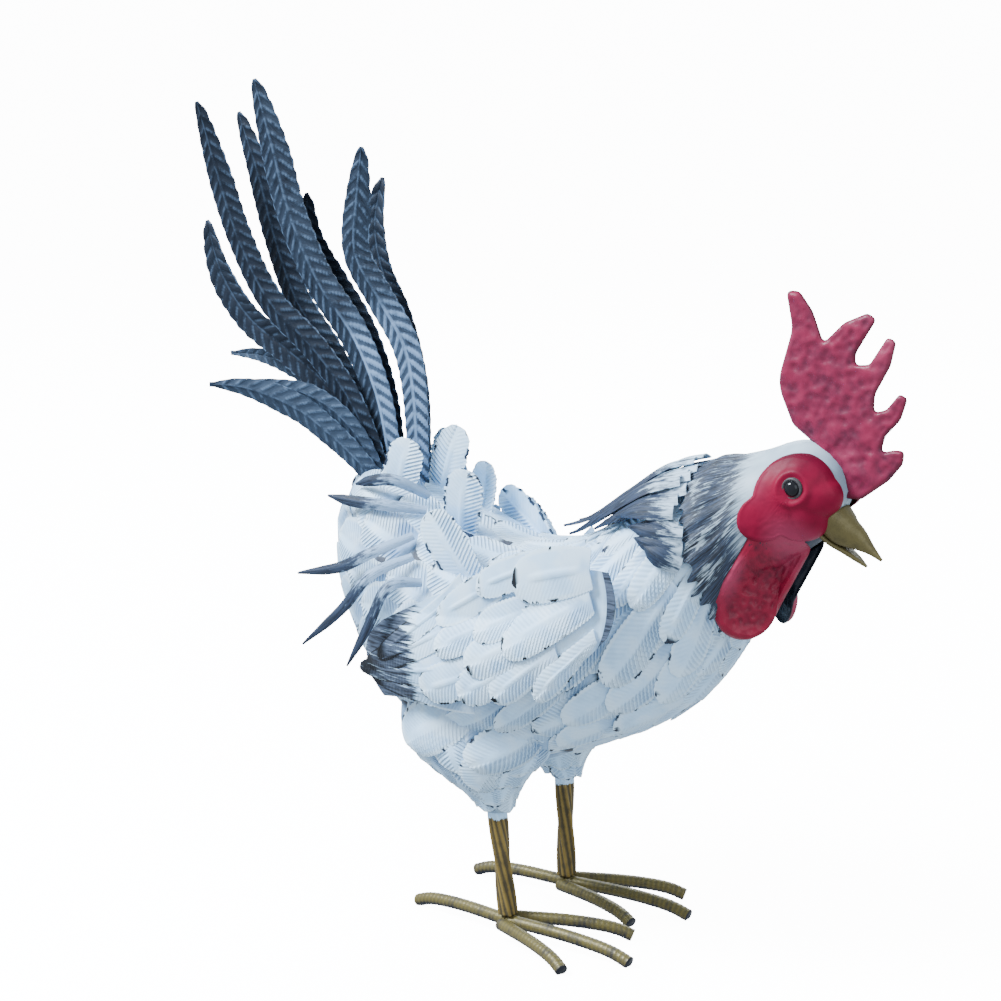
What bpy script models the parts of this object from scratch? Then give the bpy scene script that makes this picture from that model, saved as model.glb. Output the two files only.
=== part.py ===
"""A standing rooster welded together from pressed sheet-metal feathers.

The bird looks along +X, its left is +Y, and its toes stand on the floor at Z = 0. The free form of the bird is
given in shares of its height. Sheet, rod, bar and clearances have sizes of their own.
"""
import math

import bmesh
import bpy
import numpy as np

# Driving sizes in metres
HEIGHT = 0.510              # floor to the tip of the highest tail feather
SHARE = HEIGHT / 510.0      # one share of the height
SHEET = 0.0012              # pressed sheet of the long feathers
THICK_SHEET = 0.0020        # comb, wattle and face shield, two skins pressed together
LEG_BAR = 0.0088            # side of the square bar that is twisted into a leg
LEG_TURN = math.radians(-110)
TOE_ROD = 0.0080            # diameter of the ribbed rod
TOE_SIDES = 7
TOE_STATIONS = 6
TOE_FLAT = 0.0008           # depth worn off a toe's end where it stands
EYE_BEAD = 0.0120           # diameter of the glass bead
GAP = 0.0003                # clearance between pieces that touch

# Body sections from the rump to the forehead: x and z of the back line, x and z of the belly line, half width
BODY = (
    (-119, 274, -135, 252, 14), (-104, 277, -135, 226, 33), (-78, 267, -126, 192, 50), (-46, 251, -105, 155, 63),
    (-8, 239, -60, 118, 73), (32, 244, -2, 105, 76), (66, 263, 62, 128, 72), (92, 281, 101, 149, 61),
    (112, 290, 127, 177, 49), (131, 300, 143, 203, 39), (152, 309, 159, 238, 31), (178, 319, 181, 256, 25),
    (198, 308, 192, 265, 17), (205, 293, 197, 274, 10),
)
# Thigh sections from the hip down to the leg: x, y, z, half length, half width
THIGH = (
    (-21, 35, 168, 48, 31), (-22, 37, 140, 49, 31), (-18, 40, 118, 45, 30), (-13, 41, 101, 26, 22),
    (-8, 40, 89, 14, 13), (-5, 40, 79, 8.5, 8.5),
)
SEAM = 0.73                 # where the neck shell meets the coat, as a share of the way from rump to forehead
HEAD_COLUMNS = 28
# Rings of the head from the seam to the forehead: share of that way, and how far the shell stands off the body
HEAD_RINGS = ((0, 3), (0.22, 1.2), (0.41, 0), (0.56, 0), (0.70, 0), (0.82, 0), (0.93, 0), (1.0, 0))
CAPE_REACH = 0.660          # where the cape's rear edge runs at the side, as a share of the same way
CAPE_SLANT = 0.042          # how much further back that edge runs over the back
RUMP_RINGS = (0.10, 0.05, 0.0)      # the smooth end of the rump, where the tail is welded on
BODY_LENGTH = 400 * SHARE   # from the rump to the forehead, round the curve of the back
COAT_ROWS = 8
COAT_FEATHERS = 10          # feathers in one row round the body
FEATHER_COLUMNS = 3         # mesh columns across one feather of a coat
COAT_LIFT = 4.5 * SHARE     # how far a feather's tip stands off the coat
THIGH_ROWS = 4
THIGH_FEATHERS = 5
THIGH_LIFT = 3.5 * SHARE

# Wing outline seen from the side, from its front edge to its rear tips: x and z
WING_TOP = ((92, 246), (78, 246), (49, 241), (18, 233), (-11, 224), (-42, 209), (-66, 196))
WING_BOTTOM = ((91, 207), (74, 190), (50, 178), (24, 168), (-8, 159), (-40, 153), (-70, 149))
WING_TIP = 17 * SHARE       # how much further back the longest wing feather reaches
WING_ROWS = 4
WING_FEATHERS = 4
WING_LIFT = 4.0 * SHARE
WING_SHEET = 0.0020
WING_CLEAR = 3.6 * SHARE    # room between the coat and the flat panels of a wing
WING_REST = 69 * SHARE      # least distance of a wing from the mid-plane, where it runs on behind the body

# Long tail feathers: points on the midrib from the tip to the root as x and z, y of the tip and of the root, width
TAIL = (
    (((-234.5, 496), (-223.5, 454), (-209.5, 412), (-188.5, 374), (-155.5, 345),
      (-127.5, 311), (-104.8, 262)), -26, -10.5, 17),
    (((-259, 417), (-247, 384), (-225, 357), (-195, 339), (-165, 320),
      (-139.6, 295), (-115.3, 258)), 14, 9, 17),
    (((-226, 488), (-210, 450), (-197, 411), (-180, 373), (-154, 341),
      (-130.2, 307), (-106.6, 262)), 6, -1.5, 17),
    (((-204.5, 510), (-191.5, 469), (-178.5, 427), (-158.5, 388), (-131.5, 354),
      (-112.9, 314), (-102.5, 262)), -6, -6.5, 20),
    (((-178.5, 439), (-172.5, 409), (-153.5, 384), (-134.5, 360), (-120.5, 332),
      (-110.9, 302), (-105.5, 262)), 12, 3, 15),
    (((-121, 472), (-125.5, 439), (-127, 407), (-110, 380), (-92, 353),
      (-84.8, 321), (-81.9, 266)), -10, -9, 18),
    (((-130, 450), (-133, 421), (-126, 394), (-111, 369), (-100, 342),
      (-92.8, 313), (-89.9, 266)), 26, 10, 15),
    (((-257, 328), (-232, 330), (-206, 327), (-182, 319), (-162, 304),
      (-142, 287), (-120, 258)), 34, 14, 12),
    (((-215, 322), (-195, 321), (-175, 316), (-156, 308), (-139, 296),
      (-122, 282), (-104, 264)), -44, -17.5, 16),
    (((-195, 324), (-177, 322), (-159, 319), (-142, 312), (-128, 301),
      (-116, 286), (-104, 262)), -30, -14, 12),
)
TAIL_PLACES = (0, 0.02, 0.07, 0.16, 0.3, 0.45, 0.6, 0.75, 0.88, 1)     # mesh rings of a tail feather
TAIL_TIP = 1.6 * SHARE      # half width of the blunt tip
FOLD = 0.20                 # how far a feather's edges lie behind its midrib, as a share of its half width
# White coverts round the tail's root: root x, y, z, tip x, y, z, width
COVERTS = (
    (-90, -20, 260, -80, -21, 297, 25), (-70, -2, 258, -58, 0, 304, 23), (-42, -22, 243, -33, -30, 284, 26),
    (-17, -50, 222, -46, -52, 261, 26), (-90, 24, 260, -80, 25, 296, 22), (-50, 12, 244, -47, 14, 281, 20),
    (-6, 20, 232, -42, 25, 262, 26), (-122, 10, 238, -143, 12, 262, 20), (-20, 50, 222, -52, 58, 248, 26),
)
# Thin feathers that hang over the rump, on one side: three points from the tip as x, y and z, and where the root
# is welded, as a place along the body and an angle from the back line
SADDLE = (
    ((-125, 44, 261), (-106, 46, 260), (-84, 45, 260), (0.200, 30)),
    ((-111, 34, 268), (-98, 37, 272), (-80, 37, 274), (0.185, 22)),
    ((-134, 64, 215), (-102, 66, 223), (-78, 66, 235), (0.215, 46)),
    ((-121, 78, 175), (-91, 80, 201), (-72, 76, 224), (0.235, 54)),
    ((-84, 84, 168), (-68, 86, 194), (-56, 81, 220), (0.265, 60)),
)
SADDLE_WIDTH = 7.5 * SHARE
# Pointed shoulder feathers on one side: place along the body and angle of the tip, angle of the root at the cape
SHOULDER = ((0.36, 6, 6), (0.385, 14, 17), (0.41, 22, 28), (0.45, 28, 39), (0.50, 35, 50), (0.56, 43, 61))
SHOULDER_WIDTH = 11 * SHARE
SHOULDER_LIFT = 9.5 * SHARE
SHOULDER_BOW = 3 * SHARE    # how much higher a shoulder feather stands in its middle
SHOULDER_LAP = SHEET + 2.1 * SHARE      # how far every other one lies over its neighbours

# Comb outline on the mid-plane: corners as x, z and the radius that rounds them
COMB = (
    (162.5, 403.5, 4), (171, 403.8, 5.5), (179.5, 393, 14), (186.5, 375.5, 2.5), (199, 388, 14), (213, 394.4, 3.5),
    (218.8, 391.5, 3), (206.5, 371, 8), (206.5, 364.5, 4), (215, 365.5, 4), (225.5, 382, 3), (231, 379.8, 3),
    (228, 366, 12), (219, 349, 10), (218.5, 338.5, 4), (226, 341, 6), (233.8, 350.8, 2.5), (238.8, 348.5, 2.5),
    (235, 336, 12), (226, 326, 6), (223.5, 316.5, 3), (231, 318.5, 5), (238, 319, 3.5), (237, 311, 6),
    (229, 301, 12), (212, 288, 8), (202, 288, 3), (190, 304, 12), (183, 317, 4), (168.5, 327, 10), (158, 350, 25),
    (167, 382, 20),
)
FINE_CORNER = 3 * SHARE     # a corner whose rounding is shorter than this keeps two points only
# Face shield: four circles whose common outline it has, as x, z and radius
SHIELD = ((181, 292, 22), (165, 277, 13.5), (195, 291, 11.5), (185, 277, 13))
SHIELD_CENTRE = (180, 290)
SHIELD_SIDES = 18
SHIELD_REST = 10 * SHARE    # distance of the shield's rim from the mid-plane
SHIELD_STEP = 1.6 * SHARE   # how far its rim stands off the cheek
EYE_AT = (182, 296)
# Wattle: circle at the top and circle at the bottom, as distance ahead of its bend, z and radius
WATTLE = ((1, 259, 14), (-20.5, 222, 18.6))
WATTLE_BEND = 167 * SHARE   # x of the upright line where a wattle bends outwards round the neck
WATTLE_FLARE = math.radians(43)
WATTLE_REST = 9 * SHARE
WATTLE_DOME = 4 * SHARE
# Beak: points on the middle line of each half as x, z, half height and half width
BEAK_UPPER = ((195, 276.6, 10.8, 14), (202, 269.2, 10.6, 10), (210.4, 264.8, 7.7, 6.5), (219, 259.6, 3.1, 3.4),
              (225.8, 254.6, 0.9, 1.0))
BEAK_LOWER = ((189, 269.5, 2.6, 12), (196, 262.8, 2.6, 8.5), (204, 258.2, 2.4, 5.5), (211, 254, 2.0, 3.2),
              (216.8, 250, 0.8, 1.0))

# Feet: the ankles, the toes' reach and their spread
STANCE = 80 * SHARE         # distance between the two legs
STRIDE = 6 * SHARE          # how far the right foot is ahead of the left one
ANKLE_HEIGHT = 9.6 * SHARE  # of the rods' middle line
# Toes of each foot: reach, heading in degrees from straight ahead, and the side of the leg where it starts
TOES = {
    "right": {"back": (78, 167.7, 0), "middle": (89.3, -5.0, 0), "inner": (73.1, 19.8, 1), "outer": (69, -26.8, -1)},
    "left": {"back": (69.7, 176.3, 0), "middle": (86.9, 0.9, 0), "inner": (66.8, -18.3, -1), "outer": (71.8, 20.6, 1)},
}
# Height of a toe's middle line along its reach, as shares of the reach and of the ankle's height
TOE_LINE = ((0.0, 1.0), (0.42, 1.0), (0.70, 0.87), (0.87, 0.66))
TOE_DROOP = math.radians(25)        # slope of a toe's end
SIDES = {"right": -1, "left": 1}

ALONG = np.array((1.0, 0.0, 0.0))


def clear_scene():
    """Removes whatever the file holds."""
    for thing in list(bpy.data.objects):
        bpy.data.objects.remove(thing, do_unlink=True)


def finish(name, colour, roughness, metallic=0.0):
    """A plain painted or bare finish."""
    material = bpy.data.materials.get(name)
    if material is None:
        material = bpy.data.materials.new(name)
        material.use_nodes = True
        shader = material.node_tree.nodes["Principled BSDF"]
        shader.inputs["Base Color"].default_value = (*colour, 1.0)
        shader.inputs["Roughness"].default_value = roughness
        shader.inputs["Metallic"].default_value = metallic
    return material


def white_paint():
    return finish("white_paint", (0.78, 0.84, 0.90), 0.45)


def navy_paint():
    return finish("navy_paint", (0.05, 0.08, 0.13), 0.40)


def red_paint():
    return finish("red_paint", (0.50, 0.04, 0.09), 0.28)


def old_gold():
    return finish("old_gold", (0.29, 0.22, 0.08), 0.42, 0.6)


def spline(points, count):
    """Reads a smooth Catmull-Rom curve through the points at evenly spaced parameters."""
    points = np.asarray(points, float)
    place = np.linspace(0, len(points) - 1, count) if np.isscalar(count) else np.asarray(count) * (len(points) - 1)
    place = np.clip(place, 0, len(points) - 1)
    padded = np.vstack([2 * points[0] - points[1], points, 2 * points[-1] - points[-2]])
    first = np.minimum(place.astype(int), len(points) - 2)
    part = (place - first)[..., None]
    before, start, end, after = (padded[first + k] for k in range(4))
    return 0.5 * (2 * start + (end - before) * part + (2 * before - 5 * start + 4 * end - after) * part ** 2
                  + (3 * start - before - 3 * end + after) * part ** 3)


def body_skin(place, angle, lift):
    """Points on the body: place runs from rump to forehead, angle from the back line round to the left."""
    place, angle, lift = np.broadcast_arrays(place, angle, lift)
    row = spline(np.array(BODY) * SHARE, place)
    middle = (row[..., 0:2] + row[..., 2:4]) / 2
    upright = (row[..., 0:2] - row[..., 2:4]) / 2
    tall = np.linalg.norm(upright, axis=-1)
    wide = row[..., 4]
    out_up = np.cos(angle) / tall
    out_side = np.sin(angle) / wide
    length = np.hypot(out_up, out_side)
    up = np.cos(angle) * tall + lift * out_up / length
    side = np.sin(angle) * wide + lift * out_side / length
    flat = middle + upright / tall[..., None] * up[..., None]
    return np.stack([flat[..., 0], side, flat[..., 1]], axis=-1)


def body_half_width(x, z, lift=0.0):
    """How far the body, grown by a lift, reaches from the mid-plane at x and z, and 0 outside its outline."""
    row = spline(np.array(BODY) * SHARE, 400)
    middle = (row[:, 0:2] + row[:, 2:4]) / 2
    upright = (row[:, 0:2] - row[:, 2:4]) / 2
    tall = np.linalg.norm(upright, axis=1)
    x, z = np.broadcast_arrays(np.asarray(x, float), np.asarray(z, float))
    offset = np.stack([x, z], axis=-1)[..., None, :] - middle
    share = (offset * upright).sum(-1) / tall / (tall + lift)
    across = np.abs(offset[..., 0] * upright[:, 1] - offset[..., 1] * upright[:, 0]) / tall
    reach = (row[:, 4] + lift) * np.sqrt(np.clip(1 - share ** 2, 0, None))
    return np.where(across < 2 * SHARE, reach, 0).max(axis=-1)


def thigh_skin(side, place, angle, lift):
    """Points on a thigh: place runs from the hip down, angle from the front round to the left."""
    row = spline(np.array(THIGH) * SHARE, place)
    x = row[..., 0] + (row[..., 3] + lift) * np.cos(angle)
    y = side * row[..., 1] + (row[..., 4] + lift) * np.sin(angle)
    return np.stack([x, y, row[..., 2] + 0 * x], axis=-1)


def shingles(start, end, rows, feathers, lift, scallop, closed):
    """Rings of a shingled coat, as pairs of places and lifts, one pair where a row starts and one at its lip."""
    columns = feathers * FEATHER_COLUMNS + (0 if closed else 1)
    step = (end - start) / rows
    rings = []
    lip = np.full(columns, float(start))
    for row in range(rows):
        phase = (np.arange(columns) / FEATHER_COLUMNS + 0.5 * (row % 2)) % 1
        edge = np.abs(phase - 0.5) * 2
        rings.append((lip, np.zeros(columns)))
        lip = start + step * (row + 1 - scallop * edge ** 2)
        rings.append((lip, lift * (1 - 0.6 * edge ** 2)))
    rings.append((lip, np.zeros(columns)))
    return rings


def new_object(name, mesh_maker, material, smooth_angle=None):
    """Makes a closed mesh object, with its faces turned outwards."""
    mesh = bpy.data.meshes.new(name)
    shape = bmesh.new()
    mesh_maker(shape)
    bmesh.ops.remove_doubles(shape, verts=shape.verts, dist=1e-6)
    bmesh.ops.recalc_face_normals(shape, faces=shape.faces)
    if shape.calc_volume(signed=True) < 0:
        bmesh.ops.reverse_faces(shape, faces=shape.faces)
    shape.to_mesh(mesh)
    shape.free()
    if smooth_angle is not None:
        mesh.shade_smooth()
        mesh.set_sharp_from_angle(angle=math.radians(smooth_angle))
    mesh.materials.append(material)
    piece = bpy.data.objects.new(name, mesh)
    bpy.context.scene.collection.objects.link(piece)
    return piece


def add_rings(shape, rings):
    """Joins closed rings of equal count into a tube, with closed ends."""
    rows = [[shape.verts.new(point) for point in ring] for ring in rings]
    count = len(rows[0])
    for first, second in zip(rows, rows[1:]):
        for k in range(count):
            nxt = (k + 1) % count
            shape.faces.new((first[k], first[nxt], second[nxt]))
            shape.faces.new((first[k], second[nxt], second[k]))
    for row in (rows[0], rows[-1]):
        middle = shape.verts.new(np.mean([vert.co for vert in row], axis=0))
        for k in range(count):
            shape.faces.new((row[k], row[(k + 1) % count], middle))


def add_shell(shape, outer, inner):
    """Closes two open grids of the same size into one shell."""
    top = [[shape.verts.new(point) for point in row] for row in outer]
    low = [[shape.verts.new(point) for point in row] for row in inner]
    rows = len(top)
    columns = len(top[0])
    for grid in (top, low):
        for r in range(rows - 1):
            for c in range(columns - 1):
                shape.faces.new((grid[r][c], grid[r][c + 1], grid[r + 1][c + 1], grid[r + 1][c]))
    border = [(0, c) for c in range(columns)] + [(r, columns - 1) for r in range(1, rows)]
    border += [(rows - 1, c) for c in range(columns - 2, -1, -1)] + [(r, 0) for r in range(rows - 2, 0, -1)]
    for (r0, c0), (r1, c1) in zip(border, border[1:] + border[:1]):
        shape.faces.new((top[r0][c0], top[r1][c1], low[r1][c1], low[r0][c0]))


def add_feather(shape, spine, half_widths, facing):
    """A long feather folded along its midrib: six points at each place on the spine.

    facing is the direction that the rib stands towards; the ribbon lies across it and the spine.
    """
    spine = np.asarray(spine, float)
    run = np.gradient(spine, axis=0)
    run /= np.linalg.norm(run, axis=1)[:, None]
    facing = np.broadcast_to(np.asarray(facing, float), spine.shape)
    facing = facing - (facing * run).sum(1)[:, None] * run
    facing = facing / np.linalg.norm(facing, axis=1)[:, None]
    across = np.cross(run, facing)
    reach = np.asarray(half_widths)[:, None]
    edge = spine - facing * FOLD * reach
    under = facing * SHEET
    ring = np.stack([edge + across * reach, spine, edge - across * reach,
                     edge - across * reach - under, spine - under, edge + across * reach - under], axis=1)
    add_rings(shape, ring)


def join(piece, others, operation="UNION"):
    """Applies Boolean operations to the piece and deletes the others."""
    for other in others:
        step = piece.modifiers.new("join", "BOOLEAN")
        step.operation = operation
        step.solver = "EXACT"
        step.object = other
    graph = bpy.context.evaluated_depsgraph_get()
    result = bpy.data.meshes.new_from_object(piece.evaluated_get(graph))
    piece.modifiers.clear()
    piece.data = result
    for other in others:
        bpy.data.objects.remove(other, do_unlink=True)


def coat_mesh(shape):
    """The feathered body from the neck seam to the rump."""
    angles = np.arange(COAT_FEATHERS * FEATHER_COLUMNS) / (COAT_FEATHERS * FEATHER_COLUMNS) * math.tau
    rings = [body_skin(place, angles, lift) for place, lift
             in shingles(SEAM, RUMP_RINGS[0], COAT_ROWS, COAT_FEATHERS, COAT_LIFT, 0.45, True)]
    rings += [body_skin(place, angles, 0) for place in RUMP_RINGS[1:]]
    add_rings(shape, rings)


def thigh_mesh(side):
    """One feathered thigh, from inside the body down to the top of the leg."""
    def fill(shape):
        angles = np.arange(THIGH_FEATHERS * FEATHER_COLUMNS) / (THIGH_FEATHERS * FEATHER_COLUMNS) * math.tau
        rings = [thigh_skin(side, place, angles, lift) for place, lift
                 in shingles(0.0, 0.90, THIGH_ROWS, THIGH_FEATHERS, THIGH_LIFT, 0.4, True)]
        rings.append(thigh_skin(side, np.ones(len(angles)), angles, 0))
        add_rings(shape, rings)
    return fill


def covert_mesh(root_x, root_y, root_z, tip_x, tip_y, tip_z, width):
    """One short rounded covert."""
    def fill(shape):
        side = -1 if root_y < 0 else 1
        root = np.array((root_x, root_y, root_z)) * SHARE
        tip = np.array((tip_x, tip_y, tip_z)) * SHARE
        along = np.array((0, 0.25, 0.55, 0.8, 1))
        spine = root + (tip - root) * along[:, None]
        spine[:, 1] += side * 2 * SHARE * np.sin(along * math.pi)
        reach = width / 2 * SHARE * np.array((0.6, 0.85, 1.0, 0.85, 0.25))
        add_feather(shape, spine, reach, (0.15, side, 0.1))
    return fill


def make_torso():
    """Coat, thighs and coverts fused into one closed piece."""
    torso = new_object("torso", coat_mesh, white_paint())
    extra = [new_object("thigh", thigh_mesh(side), white_paint()) for side in SIDES.values()]
    extra += [new_object("covert", covert_mesh(*covert), white_paint()) for covert in COVERTS]
    join(torso, extra)
    return torso


def cape_edge(angles):
    """Where the ragged rear edge of the neck shell runs: further back over the back than under the breast."""
    ragged = 0.010 * (np.arange(len(angles)) % 2)
    return CAPE_REACH - CAPE_SLANT * np.cos(angles) + ragged


def head_rings(angles, more):
    """The rings of the head from the seam to the forehead, with more room round it."""
    return [body_skin(SEAM + (1 - SEAM) * share, angles, lift * SHARE + more) for share, lift in HEAD_RINGS]


def cape_lift(place):
    """How far the cape's inner skin stands off the body, to clear the first row of the coat."""
    first_lip = (SEAM - RUMP_RINGS[0]) / COAT_ROWS
    return GAP * 2 + (COAT_LIFT + GAP * 3) * np.clip((SEAM - place) / first_lip, 0, 1)


def head_mesh(shape):
    """The neck and head shell with its cape, which laps over the first feathers of the coat."""
    angles = np.arange(HEAD_COLUMNS) / HEAD_COLUMNS * math.tau
    start = SEAM + GAP / BODY_LENGTH
    edge = cape_edge(angles)
    middle = SEAM - (SEAM - edge) * 0.55
    rings = [body_skin(start, angles, GAP * 2), body_skin(middle, angles, cape_lift(middle)),
             body_skin(edge, angles, cape_lift(edge)), body_skin(edge, angles, cape_lift(edge) + SHEET),
             body_skin(middle, angles, np.maximum(cape_lift(middle), 2 * SHARE) + SHEET),
             *head_rings(angles, 0)]
    add_rings(shape, rings)


def make_head():
    return new_object("head_and_neck", head_mesh, white_paint(), 40)


def rounded_outline(corners, steps=3):
    """Points of a closed outline whose corners are rounded by their own radius."""
    corners = np.array(corners, float) * SHARE
    points = []
    for k, (x, z, radius) in enumerate(corners):
        here = np.array((x, z))
        back = corners[k - 1, :2] - here
        ahead = corners[(k + 1) % len(corners), :2] - here
        back_length = np.linalg.norm(back)
        ahead_length = np.linalg.norm(ahead)
        half = math.acos(np.clip(back @ ahead / (back_length * ahead_length), -1, 1)) / 2
        cut = min(radius / max(math.tan(half), 0.05), 0.48 * back_length, 0.48 * ahead_length)
        first = here + back / back_length * cut
        last = here + ahead / ahead_length * cut
        for part in np.linspace(0, 1, steps if cut > FINE_CORNER else steps - 1):
            points.append((1 - part) ** 2 * first + 2 * part * (1 - part) * here + part ** 2 * last)
    return np.array(points)


def plate_mesh(outline, rim, half_thick):
    """A pressed plate on edge: flat faces, with a rim that is hammered thin."""
    def fill(shape):
        before = np.roll(outline, 1, axis=0)
        after = np.roll(outline, -1, axis=0)
        run = after - before
        inward = np.stack([-run[:, 1], run[:, 0]], axis=1) / np.linalg.norm(run, axis=1)[:, None]
        area = 0.5 * np.sum(outline[:, 0] * after[:, 1] - after[:, 0] * outline[:, 1])
        inner = outline + inward * rim * (1 if area > 0 else -1)
        layers = ((inner, half_thick), (outline, 0.0), (inner, -half_thick))
        rows = [[shape.verts.new((x, level, z)) for x, z in ring] for ring, level in layers]
        for first, second in zip(rows, rows[1:]):
            for k in range(len(first)):
                nxt = (k + 1) % len(first)
                shape.faces.new((first[k], first[nxt], second[nxt], second[k]))
        shape.faces.new(rows[0])
        shape.faces.new(rows[-1])
    return fill


def grown_head(shape):
    """The head with its clearance, for cutting what sits on it."""
    angles = np.arange(HEAD_COLUMNS) / HEAD_COLUMNS * math.tau
    rings = [body_skin(SEAM * share, angles, COAT_LIFT + SHEET + GAP * 6) for share in (0.68, 0.82, 0.90, 0.96)]
    rings += head_rings(angles, GAP * 1.5)
    rings.append(body_skin(1.0, angles, -2 * SHARE) + ALONG * GAP * 1.3)
    add_rings(shape, rings)


def make_comb():
    """Five rounded spikes on one plate, seated on the crown."""
    comb = new_object("comb", plate_mesh(rounded_outline(COMB), 0.7 * SHARE, THICK_SHEET), red_paint())
    join(comb, [new_object("cutter", grown_head, red_paint())], "DIFFERENCE")
    return comb


def disc_rings(circles, centre, count, shares):
    """Rings of x and z inside the outline that several circles have in common, seen from the centre."""
    centre = np.array(centre, float)
    angles = np.arange(count) / count * math.tau
    way = np.stack([np.cos(angles), np.sin(angles)], axis=1)
    reach = np.zeros(count)
    for x, z, radius in circles:
        to_circle = np.array((x, z)) - centre
        near = way @ to_circle
        inside = near ** 2 - to_circle @ to_circle + radius ** 2
        reach = np.maximum(reach, np.where(inside > 0, near + np.sqrt(np.clip(inside, 0, None)), 0))
    return [(centre + way * (reach * share)[:, None]) * SHARE for share in shares]


def capsule_rings(circles, count, shares):
    """Rings of x and z inside a tapered outline drawn round two circles."""
    (x0, z0, r0), (x1, z1, r1) = circles
    axis = np.array((x1 - x0, z1 - z0))
    length = np.linalg.norm(axis)
    axis = axis / length
    normal = np.array((-axis[1], axis[0]))
    lean = math.asin((r1 - r0) / length)
    half = count // 2
    wide = np.linspace(-math.pi / 2 - lean, math.pi / 2 + lean, half)
    narrow = np.linspace(math.pi / 2 + lean, 3 * math.pi / 2 - lean, count - half)
    ends = []
    for (x, z, radius), sweep in (((x1, z1, r1), wide), ((x0, z0, r0), narrow)):
        ends.append(np.array((x, z)) + radius * (np.cos(sweep)[:, None] * axis + np.sin(sweep)[:, None] * normal))
    outline = np.vstack(ends)
    middle = np.array((x0, z0)) * 0.25 + np.array((x1, z1)) * 0.75
    return [(middle + (outline - middle) * share) * SHARE for share in shares]


def wattle_mesh(rings, depths, side):
    """A dished plate that bends outwards behind its front edge, to lie beside the neck."""
    def place(ring, depth):
        ahead = np.clip(ring[:, 0], 0, None)
        behind = np.clip(ring[:, 0], None, 0)
        x = WATTLE_BEND + ahead + behind * math.cos(WATTLE_FLARE)
        y = WATTLE_REST - behind * math.sin(WATTLE_FLARE)
        turn = np.where(behind < 0, WATTLE_FLARE, 0.0)
        return np.stack([x + depth * np.sin(turn), side * (y + depth * np.cos(turn)), ring[:, 1]], axis=1)

    def fill(shape):
        outer = [place(ring, depth) for ring, depth in zip(rings, depths)]
        inner = [place(ring, depth - THICK_SHEET) for ring, depth in zip(rings, depths)]
        add_rings(shape, outer + inner[::-1])
    return fill


def dome_mesh(rings, levels, base, side):
    """A solid dome from rings of x and z with a distance from the mid-plane for each of their points."""
    def fill(shape):
        skins = [[(x, side * y, z) for (x, z), y in zip(ring, level)] for ring, level in zip(rings, levels)]
        skins.append([(x, side * base, z) for x, z in rings[-1]])
        add_rings(shape, skins)
    return fill


def shield_depth():
    """Distance of the shield's middle from the mid-plane, over the cheek."""
    x, z = np.array(EYE_AT) * SHARE
    return float(body_half_width(x, z)) + GAP + THICK_SHEET + SHIELD_STEP


def room_for_shield(side):
    """The space of one shield and beyond it, for cutting a beak whose root reaches between the shields."""
    rings = disc_rings(SHIELD, SHIELD_CENTRE, SHIELD_SIDES, (1.04,))
    return dome_mesh(rings, [np.full(SHIELD_SIDES, 40 * SHARE)], SHIELD_REST - GAP, side)


def make_face(name, side):
    """The domed red shield round one eye, hollowed to lie on the cheek."""
    shares = (0.45, 0.82, 1.0)
    rings = disc_rings(SHIELD, SHIELD_CENTRE, SHIELD_SIDES, shares)
    crown = shield_depth()
    levels = []
    for share, ring in zip(shares, rings):
        dome = SHIELD_REST + SHIELD_STEP + (crown - SHIELD_REST - SHIELD_STEP) * math.sqrt(1.06 - share ** 2)
        cheek = body_half_width(ring[:, 0], ring[:, 1]) + GAP + SHIELD_STEP
        levels.append(np.maximum(dome, cheek))
    piece = new_object("face_shield_" + name, dome_mesh(rings, levels, SHIELD_REST, side), red_paint(), 40)
    join(piece, [new_object("cutter", grown_head, red_paint())], "DIFFERENCE")
    return piece


def make_eye(name, side):
    """Half of a glass bead, seated on the shield."""
    def fill(shape):
        x, z = np.array(EYE_AT) * SHARE
        radius = EYE_BEAD / 2
        rings = []
        for turn in np.linspace(0, math.radians(70), 3):
            angles = np.arange(10) / 10 * math.tau
            rings.append([(x + radius * math.cos(turn) * math.cos(a),
                           side * (shield_depth() + GAP + radius * 0.6 * math.sin(turn)),
                           z + radius * math.cos(turn) * math.sin(a)) for a in angles])
        add_rings(shape, rings)
    return new_object("eye_" + name, fill, finish("black_glass", (0.01, 0.01, 0.012), 0.08), 60)


def make_wattle(name, side):
    """One long wattle hanging beside the throat."""
    rings = capsule_rings(WATTLE, 18, (0.8, 1.0))
    depths = (WATTLE_DOME * 0.8, 0.0)
    piece = new_object("wattle_" + name, wattle_mesh(rings, depths, side), red_paint(), 40)
    join(piece, [new_object("cutter", grown_head, red_paint())], "DIFFERENCE")
    return piece


def make_beak(name, points, flat_side):
    """One half of the beak: half an ellipse in section, flat where the two halves face each other."""
    def fill(shape):
        line = np.array([point[:2] for point in points]) * SHARE
        run = np.gradient(line, axis=0)
        run /= np.linalg.norm(run, axis=1)[:, None]
        up = np.stack([-run[:, 1], run[:, 0]], axis=1)
        rings = []
        for (x, z), (_, _, tall, wide), way in zip(line, points, up):
            ring = []
            for a in np.arange(10) / 10 * math.tau:
                height = max(math.sin(a) * flat_side, -0.6) * flat_side * tall * SHARE
                ring.append((x + way[0] * height, math.cos(a) * wide * SHARE, z + way[1] * height))
            rings.append(ring)
        add_rings(shape, rings)
    piece = new_object(name, fill, old_gold(), 40)
    cutters = [new_object("cutter", room_for_shield(side), old_gold()) for side in SIDES.values()]
    join(piece, [new_object("cutter", grown_head, old_gold()), *cutters], "DIFFERENCE")
    return piece


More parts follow.
